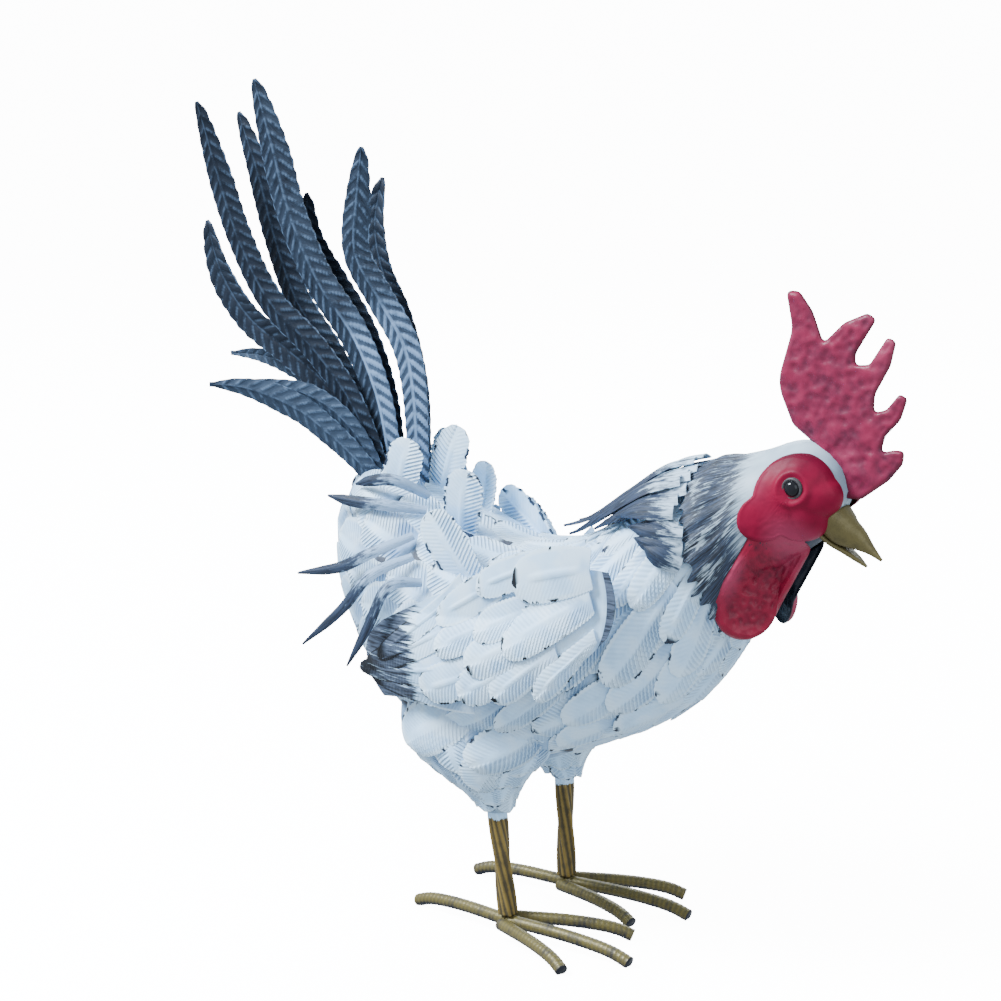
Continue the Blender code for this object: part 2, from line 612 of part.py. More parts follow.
def wing_mesh(side):
    """A wing of overlapping feathers that lies on the body and runs on straight behind it."""
    clear = COAT_LIFT + WING_CLEAR

    def place(along, down, lift):
        top = spline(np.array(WING_TOP) * SHARE, along)
        low = spline(np.array(WING_BOTTOM) * SHARE, along)
        flat = top + (low - top) * down[:, None]
        bulge = 1 - (2 * down - 1) ** 2
        flat[:, 0] += bulge * (5 * SHARE * (1 - along) ** 2 - WING_TIP * along ** 3)
        rest = WING_REST + 0.2 * np.clip(flat[:, 0] + 85 * SHARE, 0, 36 * SHARE)
        depth = np.maximum(body_half_width(flat[:, 0], flat[:, 1], clear) + WING_SHEET, rest)
        return np.stack([flat[:, 0], side * (depth + lift), flat[:, 1]], axis=1)

    def fill(shape):
        rings = shingles(0.0, 1.0, WING_ROWS, WING_FEATHERS, WING_LIFT, 0.35, False)[:-1]
        down = np.linspace(0, 1, WING_FEATHERS * FEATHER_COLUMNS + 1)
        outer = [place(along, down, lift) for along, lift in rings]
        inner = [place(along, down, -WING_SHEET * 0.98) for along, lift in rings]
        add_shell(shape, outer, inner)
    return fill


def make_wing(name, side):
    return new_object("wing_" + name, wing_mesh(side), white_paint())


def grown_rump(shape):
    """The smooth rump with its clearance, for cutting the roots of the tail."""
    angles = np.arange(COAT_FEATHERS * FEATHER_COLUMNS) / (COAT_FEATHERS * FEATHER_COLUMNS) * math.tau
    rings = [body_skin(place, angles, COAT_LIFT + GAP) for place in (0.5, 0.4, 0.3, 0.2)]
    rings.append(body_skin(RUMP_RINGS[0] - 0.002, angles, COAT_LIFT + GAP))
    rings += [body_skin(place, angles, GAP * 1.5) for place in RUMP_RINGS]
    add_rings(shape, rings)


def make_tail_feather(number, points, tip_y, root_y, width):
    """One long feather of the tail, folded about its midrib and cut where it meets the rump."""
    along = np.array(TAIL_PLACES)
    flat = spline(np.array(points) * SHARE, along)
    y = (tip_y + (root_y - tip_y) * along ** 0.7) * SHARE
    spine = np.stack([flat[:, 0], y, flat[:, 1]], axis=1)
    swell = np.minimum((along / 0.22) ** 0.45, 1) * (1 - 0.5 * np.clip((along - 0.62) / 0.38, 0, 1) ** 1.5)
    reach = np.maximum(width / 2 * SHARE * swell, TAIL_TIP)
    side = 1 if root_y > 8 else -1

    def fill(shape):
        add_feather(shape, spine, reach, (0, side, 0))
    piece = new_object("tail_feather_%02d" % number, fill, navy_paint())
    join(piece, [new_object("cutter", grown_rump, navy_paint())], "DIFFERENCE")
    return piece


def make_saddle_feather(name, side, number, *points):
    """One thin strip that is welded to the coat and hangs over the rump."""
    place, angle = points[-1]
    root = body_skin(place, math.radians(angle), COAT_LIFT + GAP + SHEET * 2)
    line = np.vstack([np.array(points[:-1]) * SHARE, root[None]])
    line[:, 1] *= side
    spine = spline(line, 6)
    reach = SADDLE_WIDTH / 2 * np.array((0.25, 0.8, 1, 1, 0.9, 0.7))

    def fill(shape):
        add_feather(shape, spine, reach, (0, side, 0.3))
    return new_object("saddle_feather_%s_%d" % (name, number), fill, navy_paint())


def make_shoulder_feather(name, side, number, tip_place, tip_angle, root_angle):
    """One pointed feather that sweeps back over the shoulder, from under the cape."""
    along = np.linspace(0, 1, 5)
    root_place = CAPE_REACH - CAPE_SLANT * math.cos(math.radians(root_angle)) - 0.004
    place = tip_place + (root_place - tip_place) * along
    angle = side * np.radians(tip_angle + (root_angle - tip_angle) * along)
    lift = SHOULDER_LIFT + SHOULDER_LAP * (number % 2) + SHOULDER_BOW * 4 * along * (1 - along)
    spine = body_skin(place, angle, lift)
    ground = body_skin(place, angle, 0 * lift)
    reach = SHOULDER_WIDTH / 2 * np.array((0.15, 0.75, 1, 1, 0.8))

    def fill(shape):
        add_feather(shape, spine, reach, spine - ground)
    return new_object("shoulder_feather_%s_%d" % (name, number), fill, navy_paint())


def leg_ends(name):
    """Foot and top of one leg's axis."""
    side = SIDES[name]
    foot = np.array((-side * STRIDE / 2, side * STANCE / 2, ANKLE_HEIGHT + TOE_ROD / 2 + GAP))
    x, y, z = np.array(THIGH[-1][:3]) * SHARE
    return foot, np.array((x, side * y, z - GAP))


def make_leg(name):
    """A square bar twisted along its length."""
    foot, top = leg_ends(name)

    def fill(shape):
        rings = []
        for share in np.linspace(0, 1, 11):
            centre = foot + (top - foot) * share
            turn = LEG_TURN * share + math.pi / 4
            size = LEG_BAR / math.sqrt(2)
            rings.append([centre + size * np.array((math.cos(turn + k * math.pi / 2),
                                                    math.sin(turn + k * math.pi / 2), 0)) for k in range(4)])
        add_rings(shape, rings)
    return new_object("leg_" + name, fill, old_gold())


def make_toe(foot_name, toe_name, reach, heading, beside):
    """A length of rod that leaves the ankle level and bends down to stand on its cut end."""
    foot, _ = leg_ends(foot_name)
    heading = math.radians(heading)
    radius = TOE_ROD / 2
    out = np.array((math.cos(heading), math.sin(heading), 0.0))
    aside = np.array((-out[1], out[0], 0.0))
    origin = np.array((foot[0], foot[1] + beside * (TOE_ROD + GAP), 0.0)) + out * GAP * (0 if beside else 1.5)
    tip_height = radius * math.cos(TOE_DROOP) - TOE_FLAT
    profile = [(share * reach * SHARE, rise * ANKLE_HEIGHT) for share, rise in TOE_LINE]
    profile.append((reach * SHARE, tip_height))

    def fill(shape):
        line = spline(profile, TOE_STATIONS)
        run = np.gradient(line, axis=0)
        run[0] = (1, 0)
        run /= np.linalg.norm(run, axis=1)[:, None]
        rings = []
        for (far, height), (ahead, rise) in zip(line, run):
            centre = origin + out * far + np.array((0, 0, height))
            up = out * -rise + np.array((0, 0, ahead))
            rings.append([centre + radius * (math.cos(a) * aside + math.sin(a) * up)
                          for a in (np.arange(TOE_SIDES) + 0.25) / TOE_SIDES * math.tau])
        add_rings(shape, rings)
        cut = bmesh.ops.bisect_plane(shape, geom=shape.verts[:] + shape.edges[:] + shape.faces[:], dist=1e-7,
                                     plane_co=(0, 0, 0), plane_no=(0, 0, -1), clear_outer=True)
        edges = [part for part in cut["geom_cut"] if isinstance(part, bmesh.types.BMEdge)]
        bmesh.ops.holes_fill(shape, edges=edges)
    return new_object("toe_%s_%s" % (foot_name, toe_name), fill, old_gold(), 50)


def build():
    """Makes the whole bird and centres it over its own footprint."""
    clear_scene()
    pieces = [make_torso(), make_head(), make_comb(),
              make_beak("beak_upper", BEAK_UPPER, 1), make_beak("beak_lower", BEAK_LOWER, -1)]
    for name, side in SIDES.items():
        pieces += [make_face(name, side), make_eye(name, side), make_wattle(name, side), make_wing(name, side),
                   make_leg(name)]
        for number, points in enumerate(SADDLE, 1):
            pieces.append(make_saddle_feather(name, side, number, *points))
        for number, route in enumerate(SHOULDER, 1):
            pieces.append(make_shoulder_feather(name, side, number, *route))
        for toe, route in TOES[name].items():
            pieces.append(make_toe(name, toe, *route))
    for number, feather in enumerate(TAIL, 1):
        pieces.append(make_tail_feather(number, *feather))
    lows = min(vert.co.x for piece in pieces for vert in piece.data.vertices)
    highs = max(vert.co.x for piece in pieces for vert in piece.data.vertices)
    stand = bpy.data.objects.new("rooster", None)
    bpy.context.scene.collection.objects.link(stand)
    stand.location.x = -(lows + highs) / 2
    for piece in pieces:
        piece.parent = stand


build()
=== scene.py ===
# %% [markdown]
# # A rooster welded from pressed sheet metal
# The real bird is garden ironwork. A maker stamps feathers from thin steel, welds them in rows on a hollow
# body, and paints them by hand. The plain solids already stand in the frame, and this lesson dresses them: each
# piece is a surface worked out from two parameters, and each finish is a procedural material.

# %% The plain solids
import math

import bpy
import numpy as np
from mathutils.geometry import delaunay_2d_cdt
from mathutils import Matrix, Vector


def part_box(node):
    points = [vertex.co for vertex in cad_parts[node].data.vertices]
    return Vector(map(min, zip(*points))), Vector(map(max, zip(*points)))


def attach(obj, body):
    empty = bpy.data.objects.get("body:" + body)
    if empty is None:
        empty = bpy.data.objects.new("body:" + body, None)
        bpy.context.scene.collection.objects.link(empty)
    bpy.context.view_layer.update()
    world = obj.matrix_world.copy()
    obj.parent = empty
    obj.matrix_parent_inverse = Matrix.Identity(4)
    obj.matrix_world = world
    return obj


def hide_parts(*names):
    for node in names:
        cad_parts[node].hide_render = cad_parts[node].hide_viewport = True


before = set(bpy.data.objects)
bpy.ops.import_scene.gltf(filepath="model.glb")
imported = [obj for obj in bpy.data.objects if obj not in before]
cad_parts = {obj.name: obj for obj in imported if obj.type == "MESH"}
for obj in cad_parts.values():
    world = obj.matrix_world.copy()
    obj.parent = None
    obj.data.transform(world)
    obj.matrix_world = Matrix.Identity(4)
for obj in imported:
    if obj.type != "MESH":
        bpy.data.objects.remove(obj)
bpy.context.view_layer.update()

print("plain solids:", len(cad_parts))

# %% [markdown]
# The bird's free form is drawn in shares of its height, as its solids are. It looks along +X and its left is
# +Y. The solids were centred over their own footprint after they were drawn, so the eye's box tells how far
# they moved.

# %% Measures
HEIGHT = 0.510                      # floor to the tip of the highest tail feather, in metres
SHARE = HEIGHT / 510
SHEET = 0.0012                      # sheet of the neck shell, and the room that long feathers are given
THIN = 0.0007                       # pressed sheet of the short feathers
GAP = 0.0003                        # clearance between pieces that touch
LONG_SHEET = 0.0009                 # sheet of the tail and saddle feathers, which is folded
STRIP_SHEET = 0.0008                # sheet of the shoulder feathers
EYE_AT = (182, 296)                 # x and z of the eye
SIDES = {"right": -1, "left": 1}
TURN = 2 * math.pi

eye_low, eye_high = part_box("eye_right")
SHIFT = (eye_low.x + eye_high.x) / 2 - EYE_AT[0] * SHARE
print("the solids stand %.2f mm ahead of where they were drawn" % (SHIFT * 1000))

# %% [markdown]
# The photograph looks slightly down on the bird's right side from ahead of it, through a long lens. A camera
# needs only a place, two angles and the width of its view.

# %% Camera
VIEW_WIDTH = math.radians(20)
VIEW_AZIMUTH = math.radians(32)     # ahead of square on to the bird's side
VIEW_DOWN = math.radians(12)
VIEW_FROM = (0.8690, -1.4347, 0.6204)

lens = bpy.data.cameras.new("view")
lens.angle = VIEW_WIDTH
camera = bpy.data.objects.new("view", lens)
camera.location = (VIEW_FROM[0] + SHIFT, VIEW_FROM[1], VIEW_FROM[2])
camera.rotation_euler = (math.pi / 2 - VIEW_DOWN, 0, VIEW_AZIMUTH)
bpy.context.scene.collection.objects.link(camera)
bpy.context.scene.camera = camera
print("camera %.2f m from the bird" % camera.location.length)

# %% [markdown]
# A surface on a grid needs its quads once: the corner numbers follow from the row and column of each cell. Many
# feathers of the same grid are one mesh, whose quads repeat with an offset.


# %% Grids
def grid_quads(rows, columns, closed=False, count=1):
    """Corner numbers of grids that lie one after another: cell (r, c) joins c and c + 1 in rows r and r + 1."""
    row, column = np.meshgrid(np.arange(rows - 1), np.arange(columns if closed else columns - 1), indexing="ij")
    first = row * columns + column
    beside = row * columns + (column + 1) % columns
    quads = np.stack([first, beside, beside + columns, first + columns], axis=-1).reshape(-1, 4)
    return (quads + np.arange(count)[:, None, None] * rows * columns).reshape(-1, 4)


def together(*parts):
    """Arrays of numbers side by side as vectors, each spread over the shape that they share."""
    return np.stack(np.broadcast_arrays(*parts), axis=-1)


def capped(rings):
    """Rings with one more at each end, drawn together in its middle, so that the tube is closed."""
    ends = [np.broadcast_to(rings[k].mean(0), rings[:1].shape) for k in (0, -1)]
    return np.concatenate([ends[0], rings, ends[1]])


def repeated_ends(marks):
    """Marks of rings, with those of the first and last ring once more for the caps."""
    return np.concatenate([marks[:1], marks, marks[-1:]])


def put_mesh(name, made, finish, sheet=None):
    """Makes a mesh object from points in the bird's own frame, arrays of face corners, and marks per point.

    An edge with a face on one side only is the cut edge of a sheet, so it is marked sharp before the sheet gets
    its thickness, and the flat of the sheet keeps its own shading.
    """
    points, faces, marks = made
    points = np.asarray(points, float).reshape(-1, 3) + (SHIFT, 0, 0)
    faces = [np.asarray(part) for part in (faces if isinstance(faces, list) else [faces])]
    corners = np.concatenate([part.ravel() for part in faces]).astype(np.int32)
    sizes = np.concatenate([np.full(len(part), part.shape[1]) for part in faces])
    mesh = bpy.data.meshes.new(name)
    mesh.vertices.add(len(points))
    mesh.vertices.foreach_set("co", points.ravel())
    mesh.loops.add(len(corners))
    mesh.loops.foreach_set("vertex_index", corners)
    mesh.polygons.add(len(sizes))
    mesh.polygons.foreach_set("loop_start", np.concatenate([[0], np.cumsum(sizes)[:-1]]).astype(np.int32))
    mesh.update(calc_edges=True)
    mesh.validate()
    for mark, values in marks.items():
        layer = mesh.attributes.new(mark, "FLOAT_VECTOR", "POINT")
        layer.data.foreach_set("vector", np.asarray(values, float).reshape(-1, 3).ravel())
    mesh.shade_smooth()
    edges = np.zeros(len(mesh.loops), int)
    mesh.loops.foreach_get("edge_index", edges)
    rim = np.bincount(edges, minlength=len(mesh.edges)) == 1
    if rim.any():
        mesh.attributes.new("sharp_edge", "BOOLEAN", "EDGE").data.foreach_set("value", rim)
    mesh.materials.append(finish)
    piece = bpy.data.objects.new(name, mesh)
    bpy.context.scene.collection.objects.link(piece)
    if sheet:
        wall = piece.modifiers.new("sheet", "SOLIDIFY")
        wall.thickness = sheet
        wall.offset = -1
    return piece


def place_piece(piece, slot, *nodes):
    """The piece stands for those plain solids and rides on the body. The slot is not used."""
    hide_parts(*nodes)
    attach(piece, "root")
    print("%-24s %6d faces for %s" % (piece.name, len(piece.data.polygons), ", ".join(nodes[:3])))


# %% [markdown]
# Every curve of the bird goes through a few drawn points. A Catmull-Rom spline passes through all of them and
# is a plain formula, so whole arrays of places are read from it at once.


# %% Curves
def spline(points, place):
    """A curve through points: at share p of its way it is the cubic that the four nearest points give."""
    points = np.asarray(points, float)
    place = np.clip(np.asarray(place, float) * (len(points) - 1), 0, len(points) - 1)
    padded = np.vstack([2 * points[0] - points[1], points, 2 * points[-1] - points[-2]])
    first = np.minimum(place.astype(int), len(points) - 2)
    part = (place - first)[..., None]
    before, start, end, after = (padded[first + k] for k in range(4))
    return 0.5 * (2 * start + (end - before) * part + (2 * before - 5 * start + 4 * end - after) * part ** 2
                  + (3 * start - before - 3 * end + after) * part ** 3)


def soft_step(value, low, high):
    """0 below low, 1 above high, and between them 3 u^2 - 2 u^3 of the share u of the way."""
    share = np.clip((value - low) / (high - low), 0, 1)
    return share * share * (3 - 2 * share)


def unit(vectors):
    """Vectors of length 1."""
    return vectors / np.linalg.norm(vectors, axis=-1, keepdims=True)


# %% [markdown]
# The body is a row of upright ovals from the rump to the forehead. Any place on it is given by how far along
# the row it is, the angle round the oval, and how far it stands off the skin. Feathers are laid out in these
# parameters, so they follow the body by themselves.

# %% Body, thigh and wing skins
# Sections from the rump to the forehead: x and z of the back line, x and z of the belly line, half width
BODY = (
    (-119, 274, -135, 252, 14), (-104, 277, -135, 226, 33),
    (-78, 267, -126, 192, 50), (-46, 251, -105, 155, 63),
    (-8, 239, -60, 118, 73), (32, 244, -2, 105, 76), (66, 263, 62, 128, 72), (92, 281, 101, 149, 61),
    (112, 290, 127, 177, 49), (131, 300, 143, 203, 39), (152, 309, 159, 238, 31), (178, 319, 181, 256, 25),
    (198, 308, 192, 265, 17), (205, 293, 197, 274, 10),
)
# Sections from the hip down to the leg: x, y, z, half length, half width
THIGH = (
    (-21, 35, 168, 48, 31), (-22, 37, 140, 49, 31), (-18, 40, 118, 45, 30), (-13, 41, 101, 26, 22),
    (-8, 40, 89, 14, 13), (-5, 40, 79, 8.5, 8.5),
)
# Wing outline seen from the side, from its front edge to its rear tips: x and z
WING_TOP = ((92, 246), (78, 246), (49, 241), (18, 233), (-11, 224), (-42, 209), (-66, 196))
WING_BOTTOM = ((91, 207), (74, 190), (50, 178), (24, 168), (-8, 159), (-40, 153), (-70, 149))
BODY_LENGTH = 400 * SHARE           # about the way from the rump to the forehead
RUMP_RUN = 0.03                     # share of that way whose direction the rump keeps
THIGH_LENGTH = 89 * SHARE
WING_LENGTH = 165 * SHARE
COAT_LIFT = 4.5 * SHARE             # how far a feather's tip stands off the coat
WING_SHEET = 0.0020
WING_CLEAR = 3.6 * SHARE            # room between the coat and a wing
WING_REST = 69 * SHARE              # least distance of a wing from the mid-plane


def body_ovals(place):
    """Middle, upright radius as a vector, its length, and half width of the ovals at those places.

    Behind the first oval, the row runs on straight, as it does over the first RUMP_RUN of its way.
    """
    row = spline(np.array(BODY) * SHARE, place)
    first_step = spline(np.array(BODY) * SHARE, RUMP_RUN) - np.array(BODY)[0] * SHARE
    row = row + np.minimum(place, 0)[..., None] * first_step / RUMP_RUN
    upright = (row[..., 0:2] - row[..., 2:4]) / 2
    return (row[..., 0:2] + row[..., 2:4]) / 2, upright, np.linalg.norm(upright, axis=-1), row[..., 4]


def body_skin(place, angle, lift=0.0):
    """Middle of the oval + upright radius * cos(angle) + half width * sin(angle), pushed out by lift."""
    place, angle, lift = np.broadcast_arrays(np.asarray(place, float), angle, lift)
    middle, upright, tall, wide = body_ovals(place)
    wide = np.maximum(wide, 2 * SHARE)
    out_up = np.cos(angle) / tall
    out_side = np.sin(angle) / wide
    length = np.hypot(out_up, out_side)
    up = np.cos(angle) * tall + lift * out_up / length
    side = np.sin(angle) * wide + lift * out_side / length
    flat = middle + upright / tall[..., None] * up[..., None]
    return np.stack([flat[..., 0], side, flat[..., 1]], axis=-1)


def body_half_width(x, z, lift=0.0):
    """How far the body, grown by a lift, reaches from the mid-plane at x and z, and 0 outside its outline."""
    middle, upright, tall, wide = body_ovals(np.linspace(0, 1, 400))
    offset = together(x, z)[..., None, :] - middle
    share = (offset * upright).sum(-1) / tall / (tall + lift)
    across = np.abs(offset[..., 0] * upright[:, 1] - offset[..., 1] * upright[:, 0]) / tall
    reach = (wide + lift) * np.sqrt(np.clip(1 - share ** 2, 0, None))
    return np.where(across < 2 * SHARE, reach, 0).max(axis=-1)


def thigh_skin(side):
    """A skin of level ovals: middle + (half length * cos(angle), half width * sin(angle)), grown by lift."""
    def skin(place, angle, lift=0.0):
        row = spline(np.array(THIGH) * SHARE, place)
        x = row[..., 0] + (row[..., 3] + lift) * np.cos(angle)
        y = side * (row[..., 1] + (row[..., 4] + lift) * np.sin(angle))
        return np.stack([x, y, row[..., 2] + 0 * x], axis=-1)
    return skin


def wing_skin(side):
    """The wing's side view as a blend of its two outlines, laid on the body and going straight on behind."""
    def skin(along, down, lift=0.0):
        along, down, lift = np.broadcast_arrays(np.asarray(along, float), down, lift)
        top = spline(np.array(WING_TOP) * SHARE, along)
        low = spline(np.array(WING_BOTTOM) * SHARE, along)
        flat = top + (low - top) * down[..., None]
        past = np.clip(along - 1, 0, None) * WING_LENGTH
        ahead = np.clip(along, None, 0) * WING_LENGTH
        bulge = 1 - (2 * np.clip(down, 0, 1) - 1) ** 2
        share = np.clip(along, 0, 1)
        x = flat[..., 0] + bulge * (5 * (1 - share) ** 2 - 17 * share ** 3) * SHARE - past - ahead
        z = flat[..., 1] - 0.25 * past
        rest = WING_REST + 0.2 * np.clip(x + 85 * SHARE, 0, 36 * SHARE)
        depth = np.maximum(body_half_width(x, z, COAT_LIFT + WING_CLEAR) + WING_SHEET, rest)
        return np.stack([x, side * (depth + lift), z], axis=-1)
    return skin


def lengths(line):
    """Distance along a line from its first point to each of its points."""
    return np.concatenate([[0], np.cumsum(np.linalg.norm(np.diff(line, axis=0), axis=1))])


print("girth at the breast %.0f mm" % (1000 * lengths(body_skin(0.5, np.linspace(0, TURN, 200)))[-1]))

# %% [markdown]
# Each finish is a small sum of masks: where the brush went, where the relief stands proud, where paint ran
# thin. A Python object that wraps one socket and knows + and * lets such a sum be written as it is thought.


# %% Shader sums
class Wire:
    """One output inside a finish, which adds Math nodes when it is used in a sum."""

    def __init__(self, finish, socket):
        self.finish = finish
        self.socket = socket

    def maths(self, operation, *terms, clamp=False):
        settings = {"operation": operation, "use_clamp": clamp}
        return self.finish.node("ShaderNodeMath", settings, dict(enumerate(terms)))

    def __add__(self, other):
        return self.maths("ADD", self, other)

    def __sub__(self, other):
        return self.maths("SUBTRACT", self, other)

    def __rsub__(self, other):
        return self.maths("SUBTRACT", other, self)

    def __mul__(self, other):
        return self.maths("MULTIPLY", self, other)

    def __truediv__(self, other):
        return self.maths("DIVIDE", self, other)

    __radd__ = __add__
    __rmul__ = __mul__

    def sized(self):
        return self.maths("ABSOLUTE", self)

    def wave(self):
        """0 to 1 and back once for each whole number."""
        return self.maths("SINE", self * TURN) * 0.5 + 0.5

    def over(self, low, high):
        """0 below low and 1 above high, with soft ends."""
        settings = {"interpolation_type": "SMOOTHSTEP"}
        return self.finish.node("ShaderNodeMapRange", settings, {0: self, 1: low, 2: high, 3: 0.0, 4: 1.0})

    def at_most(self, other):
        return self.maths("MINIMUM", self, other)

    def at_least(self, other):
        return self.maths("MAXIMUM", self, other)


class Finish:
    """One material with a Principled shader."""

    def __init__(self, name, **constants):
        self.material = bpy.data.materials.new(name)
        self.material.use_nodes = True
        self.tree = self.material.node_tree
        self.shader = self.tree.nodes["Principled BSDF"]
        for socket, value in constants.items():
            self.shader.inputs[socket.replace("_", " ").title().replace("Ior", "IOR")].default_value = value

    def node(self, kind, settings=None, sockets=None, output=0):
        """Any node: its settings first, then the values or links of its sockets, and one of its outputs."""
        made = self.tree.nodes.new(kind)
        for setting, value in (settings or {}).items():
            setattr(made, setting, value)
        for socket, value in (sockets or {}).items():
            if isinstance(value, Wire):
                self.tree.links.new(value.socket, made.inputs[socket])
            else:
                made.inputs[socket].default_value = value
        return Wire(self, made.outputs[output])

    def feed(self, socket, wire):
        self.tree.links.new(wire.socket, self.shader.inputs[socket])

    def parts(self, vector):
        """The three numbers of a vector."""
        return tuple(self.node("ShaderNodeSeparateXYZ", None, {0: vector}, output=k) for k in range(3))

    def mark(self, name):
        """The three numbers that the mesh keeps at each point under this name."""
        return self.parts(self.node("ShaderNodeAttribute", {"attribute_name": name}, output="Vector"))

    def places(self):
        """Place on the object, in metres."""
        return self.node("ShaderNodeTexCoord", output="Object")

    def joined(self, *parts):
        return self.node("ShaderNodeCombineXYZ", None, dict(enumerate(parts)))

    def noise(self, vector, grain, detail=2.0, roughness=0.5):
        """Soft noise whose lumps measure about one grain in the vector's own unit."""
        sockets = {"Vector": vector, "Scale": 1 / grain, "Detail": detail, "Roughness": roughness}
        return self.node("ShaderNodeTexNoise", None, sockets)

    def cells(self, vector, grain, smooth=0.6):
        """Distance to the nearest of scattered points, softened where two of them meet."""
        sockets = {"Vector": vector, "Scale": 1 / grain, "Smoothness": smooth}
        return self.node("ShaderNodeTexVoronoi", {"feature": "SMOOTH_F1"}, sockets)

    def mix(self, share, first, second):
        """Colour between two colours."""
        first, second = ((*c, 1.0) if isinstance(c, tuple) else c for c in (first, second))
        return self.node("ShaderNodeMix", {"data_type": "RGBA"}, {0: share, 6: first, 7: second}, output=2)

    def bumped(self, height, depth):
        """Normal of a relief whose height runs from 0 to 1 over that depth."""
        sockets = {"Height": height, "Distance": depth, "Strength": 1.0}
        self.feed("Normal", self.node("ShaderNodeBump", None, sockets))


# Paints as linear red, green and blue
WHITE = (0.51, 0.76, 1.0)
# blue of the painted shade in the barbs' valleys and the root halves of white feathers, and of random clouds
SHADE_AND_CLOUD_BLUE = (0.13, 0.24, 0.42)
# paler white of the painted highlight on feather rims, and of random pale clouds
PALE_AND_HIGHLIGHT_WHITE = (0.68, 0.86, 1.0)
NAVY = (0.009, 0.012, 0.019)
SLATE = (0.030, 0.046, 0.085)
SILVER = (0.16, 0.25, 0.40)
print("white is %.0f times as bright as navy" % (sum(WHITE) / sum(NAVY)))

# %% [markdown]
# White feathers are sprayed white over navy, so navy stays at the roots and at chipped edges. Some of this
# paint is
# painted light: the valleys between the pressed barbs and the root half under the next feather are painted blue
# as shade, the navy at the roots and in dashes along the rims also stands for the shadow in the gaps, and the
# rims get a painted highlight. The mesh tells the paint where it is on its feather: share from root to tip,
# share across, and the same in millimetres, so the barbs have one pitch on every feather.


# %% White feather paint
PITCH = 2.7                         # of the barbs, in millimetres
SLANT = 0.62                        # how far a barb runs back for each step outwards
DIP = -12                           # x where the navy of the wing's tips ends, in millimetres
BLACK_RIM = (0.004, 0.006, 0.010)
BRUSHED_NAVY = (0.080, 0.108, 0.165)


def feather_paint(name, depth, dip=None):
    """White over navy, with V barbs: a wave of (along - slant * |across|) / pitch that fades at the midrib.

    Where a dip is given, all that lies behind that x was dipped in navy and brushed out forwards.
    """
    paint = Finish(name, specular_ior_level=0.30)
    share, across, tone = paint.mark("vane")
    along_mm, across_mm, barbed = paint.mark("span")
    place = paint.places()
    wide = across.sized()
    border = wide.at_least(share * 2 - 1)
    barbs = ((along_mm - across_mm.sized() * SLANT) / PITCH).wave()
    pressed = barbed * wide.over(0.06, 0.26) * share.over(0.20, 0.42)
    fine = paint.noise(place, 0.0011, 3)
    cloud = paint.noise(place, 0.018, 3)
    dashes = paint.noise(paint.joined(along_mm * 0.15, across * 1.1, tone * 60), 1.0, 2)
    # painted shade: the root half, which lies under the next feather's tip, is painted blue-grey
    painted_root_shade = share.over(0.70, 0.30) * (0.30 + tone * 0.40)
    # painted shade in the valleys between the barbs, with random blue-grey clouds
    shade = (1 - barbs) * pressed * (0.28 + tone * 0.60) + cloud.over(0.52, 0.80) * 0.30 + painted_root_shade
    rim = border.over(0.74, 0.90)
    body = paint.mix(shade.at_most(1.0), WHITE, SHADE_AND_CLOUD_BLUE)
    # painted highlight: the rims, and random clouds, are mixed towards a paler white
    body = paint.mix((cloud.over(0.55, 0.35) * 0.6).at_least(rim * 0.7), body, PALE_AND_HIGHLIGHT_WHITE)
    # navy dashes along the rims: chipped paint, and painted shadow in the gap under a rim
    edge = wide.at_least(share * 2.4 - 1.4).over(0.82, 0.92) * share.over(0.40, 0.60)
    edge = edge * dashes.over(0.575, 0.605)
    # navy at the root: the undercoat, and painted shade where it shows in the gaps
    under = share.over(0.20, 0.10)
    bare = (edge + under).at_most(1.0)
    night = paint.mix(fine, NAVY, SLATE)
    if dip is not None:
        x, y, z = paint.parts(place)
        bristle = paint.noise(paint.joined(x * 70, y * 20, z * 900), 1.0, 3, 0.6)
        broad = paint.noise(paint.joined(x * 25, y * 20, z * 260), 1.0, 2)
        front = (x - SHIFT) * 1000 + bristle * 22 + broad * 26 + (z * 1000 - 170) * 0.18
        bare = bare.at_least(front.over(dip + 3, dip - 3) * (1 - bristle.over(0.60, 0.68) * 0.5))
        night = paint.mix(bristle.over(0.30, 0.62), NAVY, BRUSHED_NAVY)
        night = paint.mix(rim, night, BLACK_RIM)
    paint.feed("Base Color", paint.mix(bare, body, night))
    paint.feed("Roughness", 0.40 + fine * 0.16)
    paint.bumped(barbs * pressed + fine * 0.06 + cloud * 0.10, depth)
    return paint.material


coat_paint = feather_paint("coat_white", 0.0008)
wing_paint = feather_paint("wing_white", 0.0005, DIP)
print("feather paints:", coat_paint.name, wing_paint.name)

# %% [markdown]
# A pressed feather is one oval of thin sheet: narrow at the root, widest past its middle and round at the tip,
# with notches cut into its rim, a raised midrib and a slight camber. Hundreds of them would be too many to
# model one by one, so one grid is bent onto a skin for a whole table of places, turns and sizes at once.

# %% Laying feathers on a skin
chance = np.random.default_rng(11)


def skin_steps(skin, along, around):
    """How far and which way a skin runs for one unit of each of its two parameters."""
    e = 1e-3
    return ((skin(along + e, around) - skin(along - e, around)) / (2 * e),
            (skin(along, around + e) - skin(along, around - e)) / (2 * e))


def turned(quads, turn_over):
    """Quads with their corners in the other order where a skin is mirrored."""
    return quads[:, ::-1] if turn_over else quads


def oval(share, root, tip, widest):
    """Half width: from root at 0 it swells as a sine to 1 at widest, then falls as a quarter of an ellipse."""
    rising = root + (1 - root) * np.sin(np.clip(share / widest, 0, 1) * math.pi / 2)
    falling = np.sqrt(np.clip(1 - np.clip((share - widest) / (1 - widest), 0, 1) ** 2.4, 0, 1))
    return rising * (tip + (1 - tip) * falling)


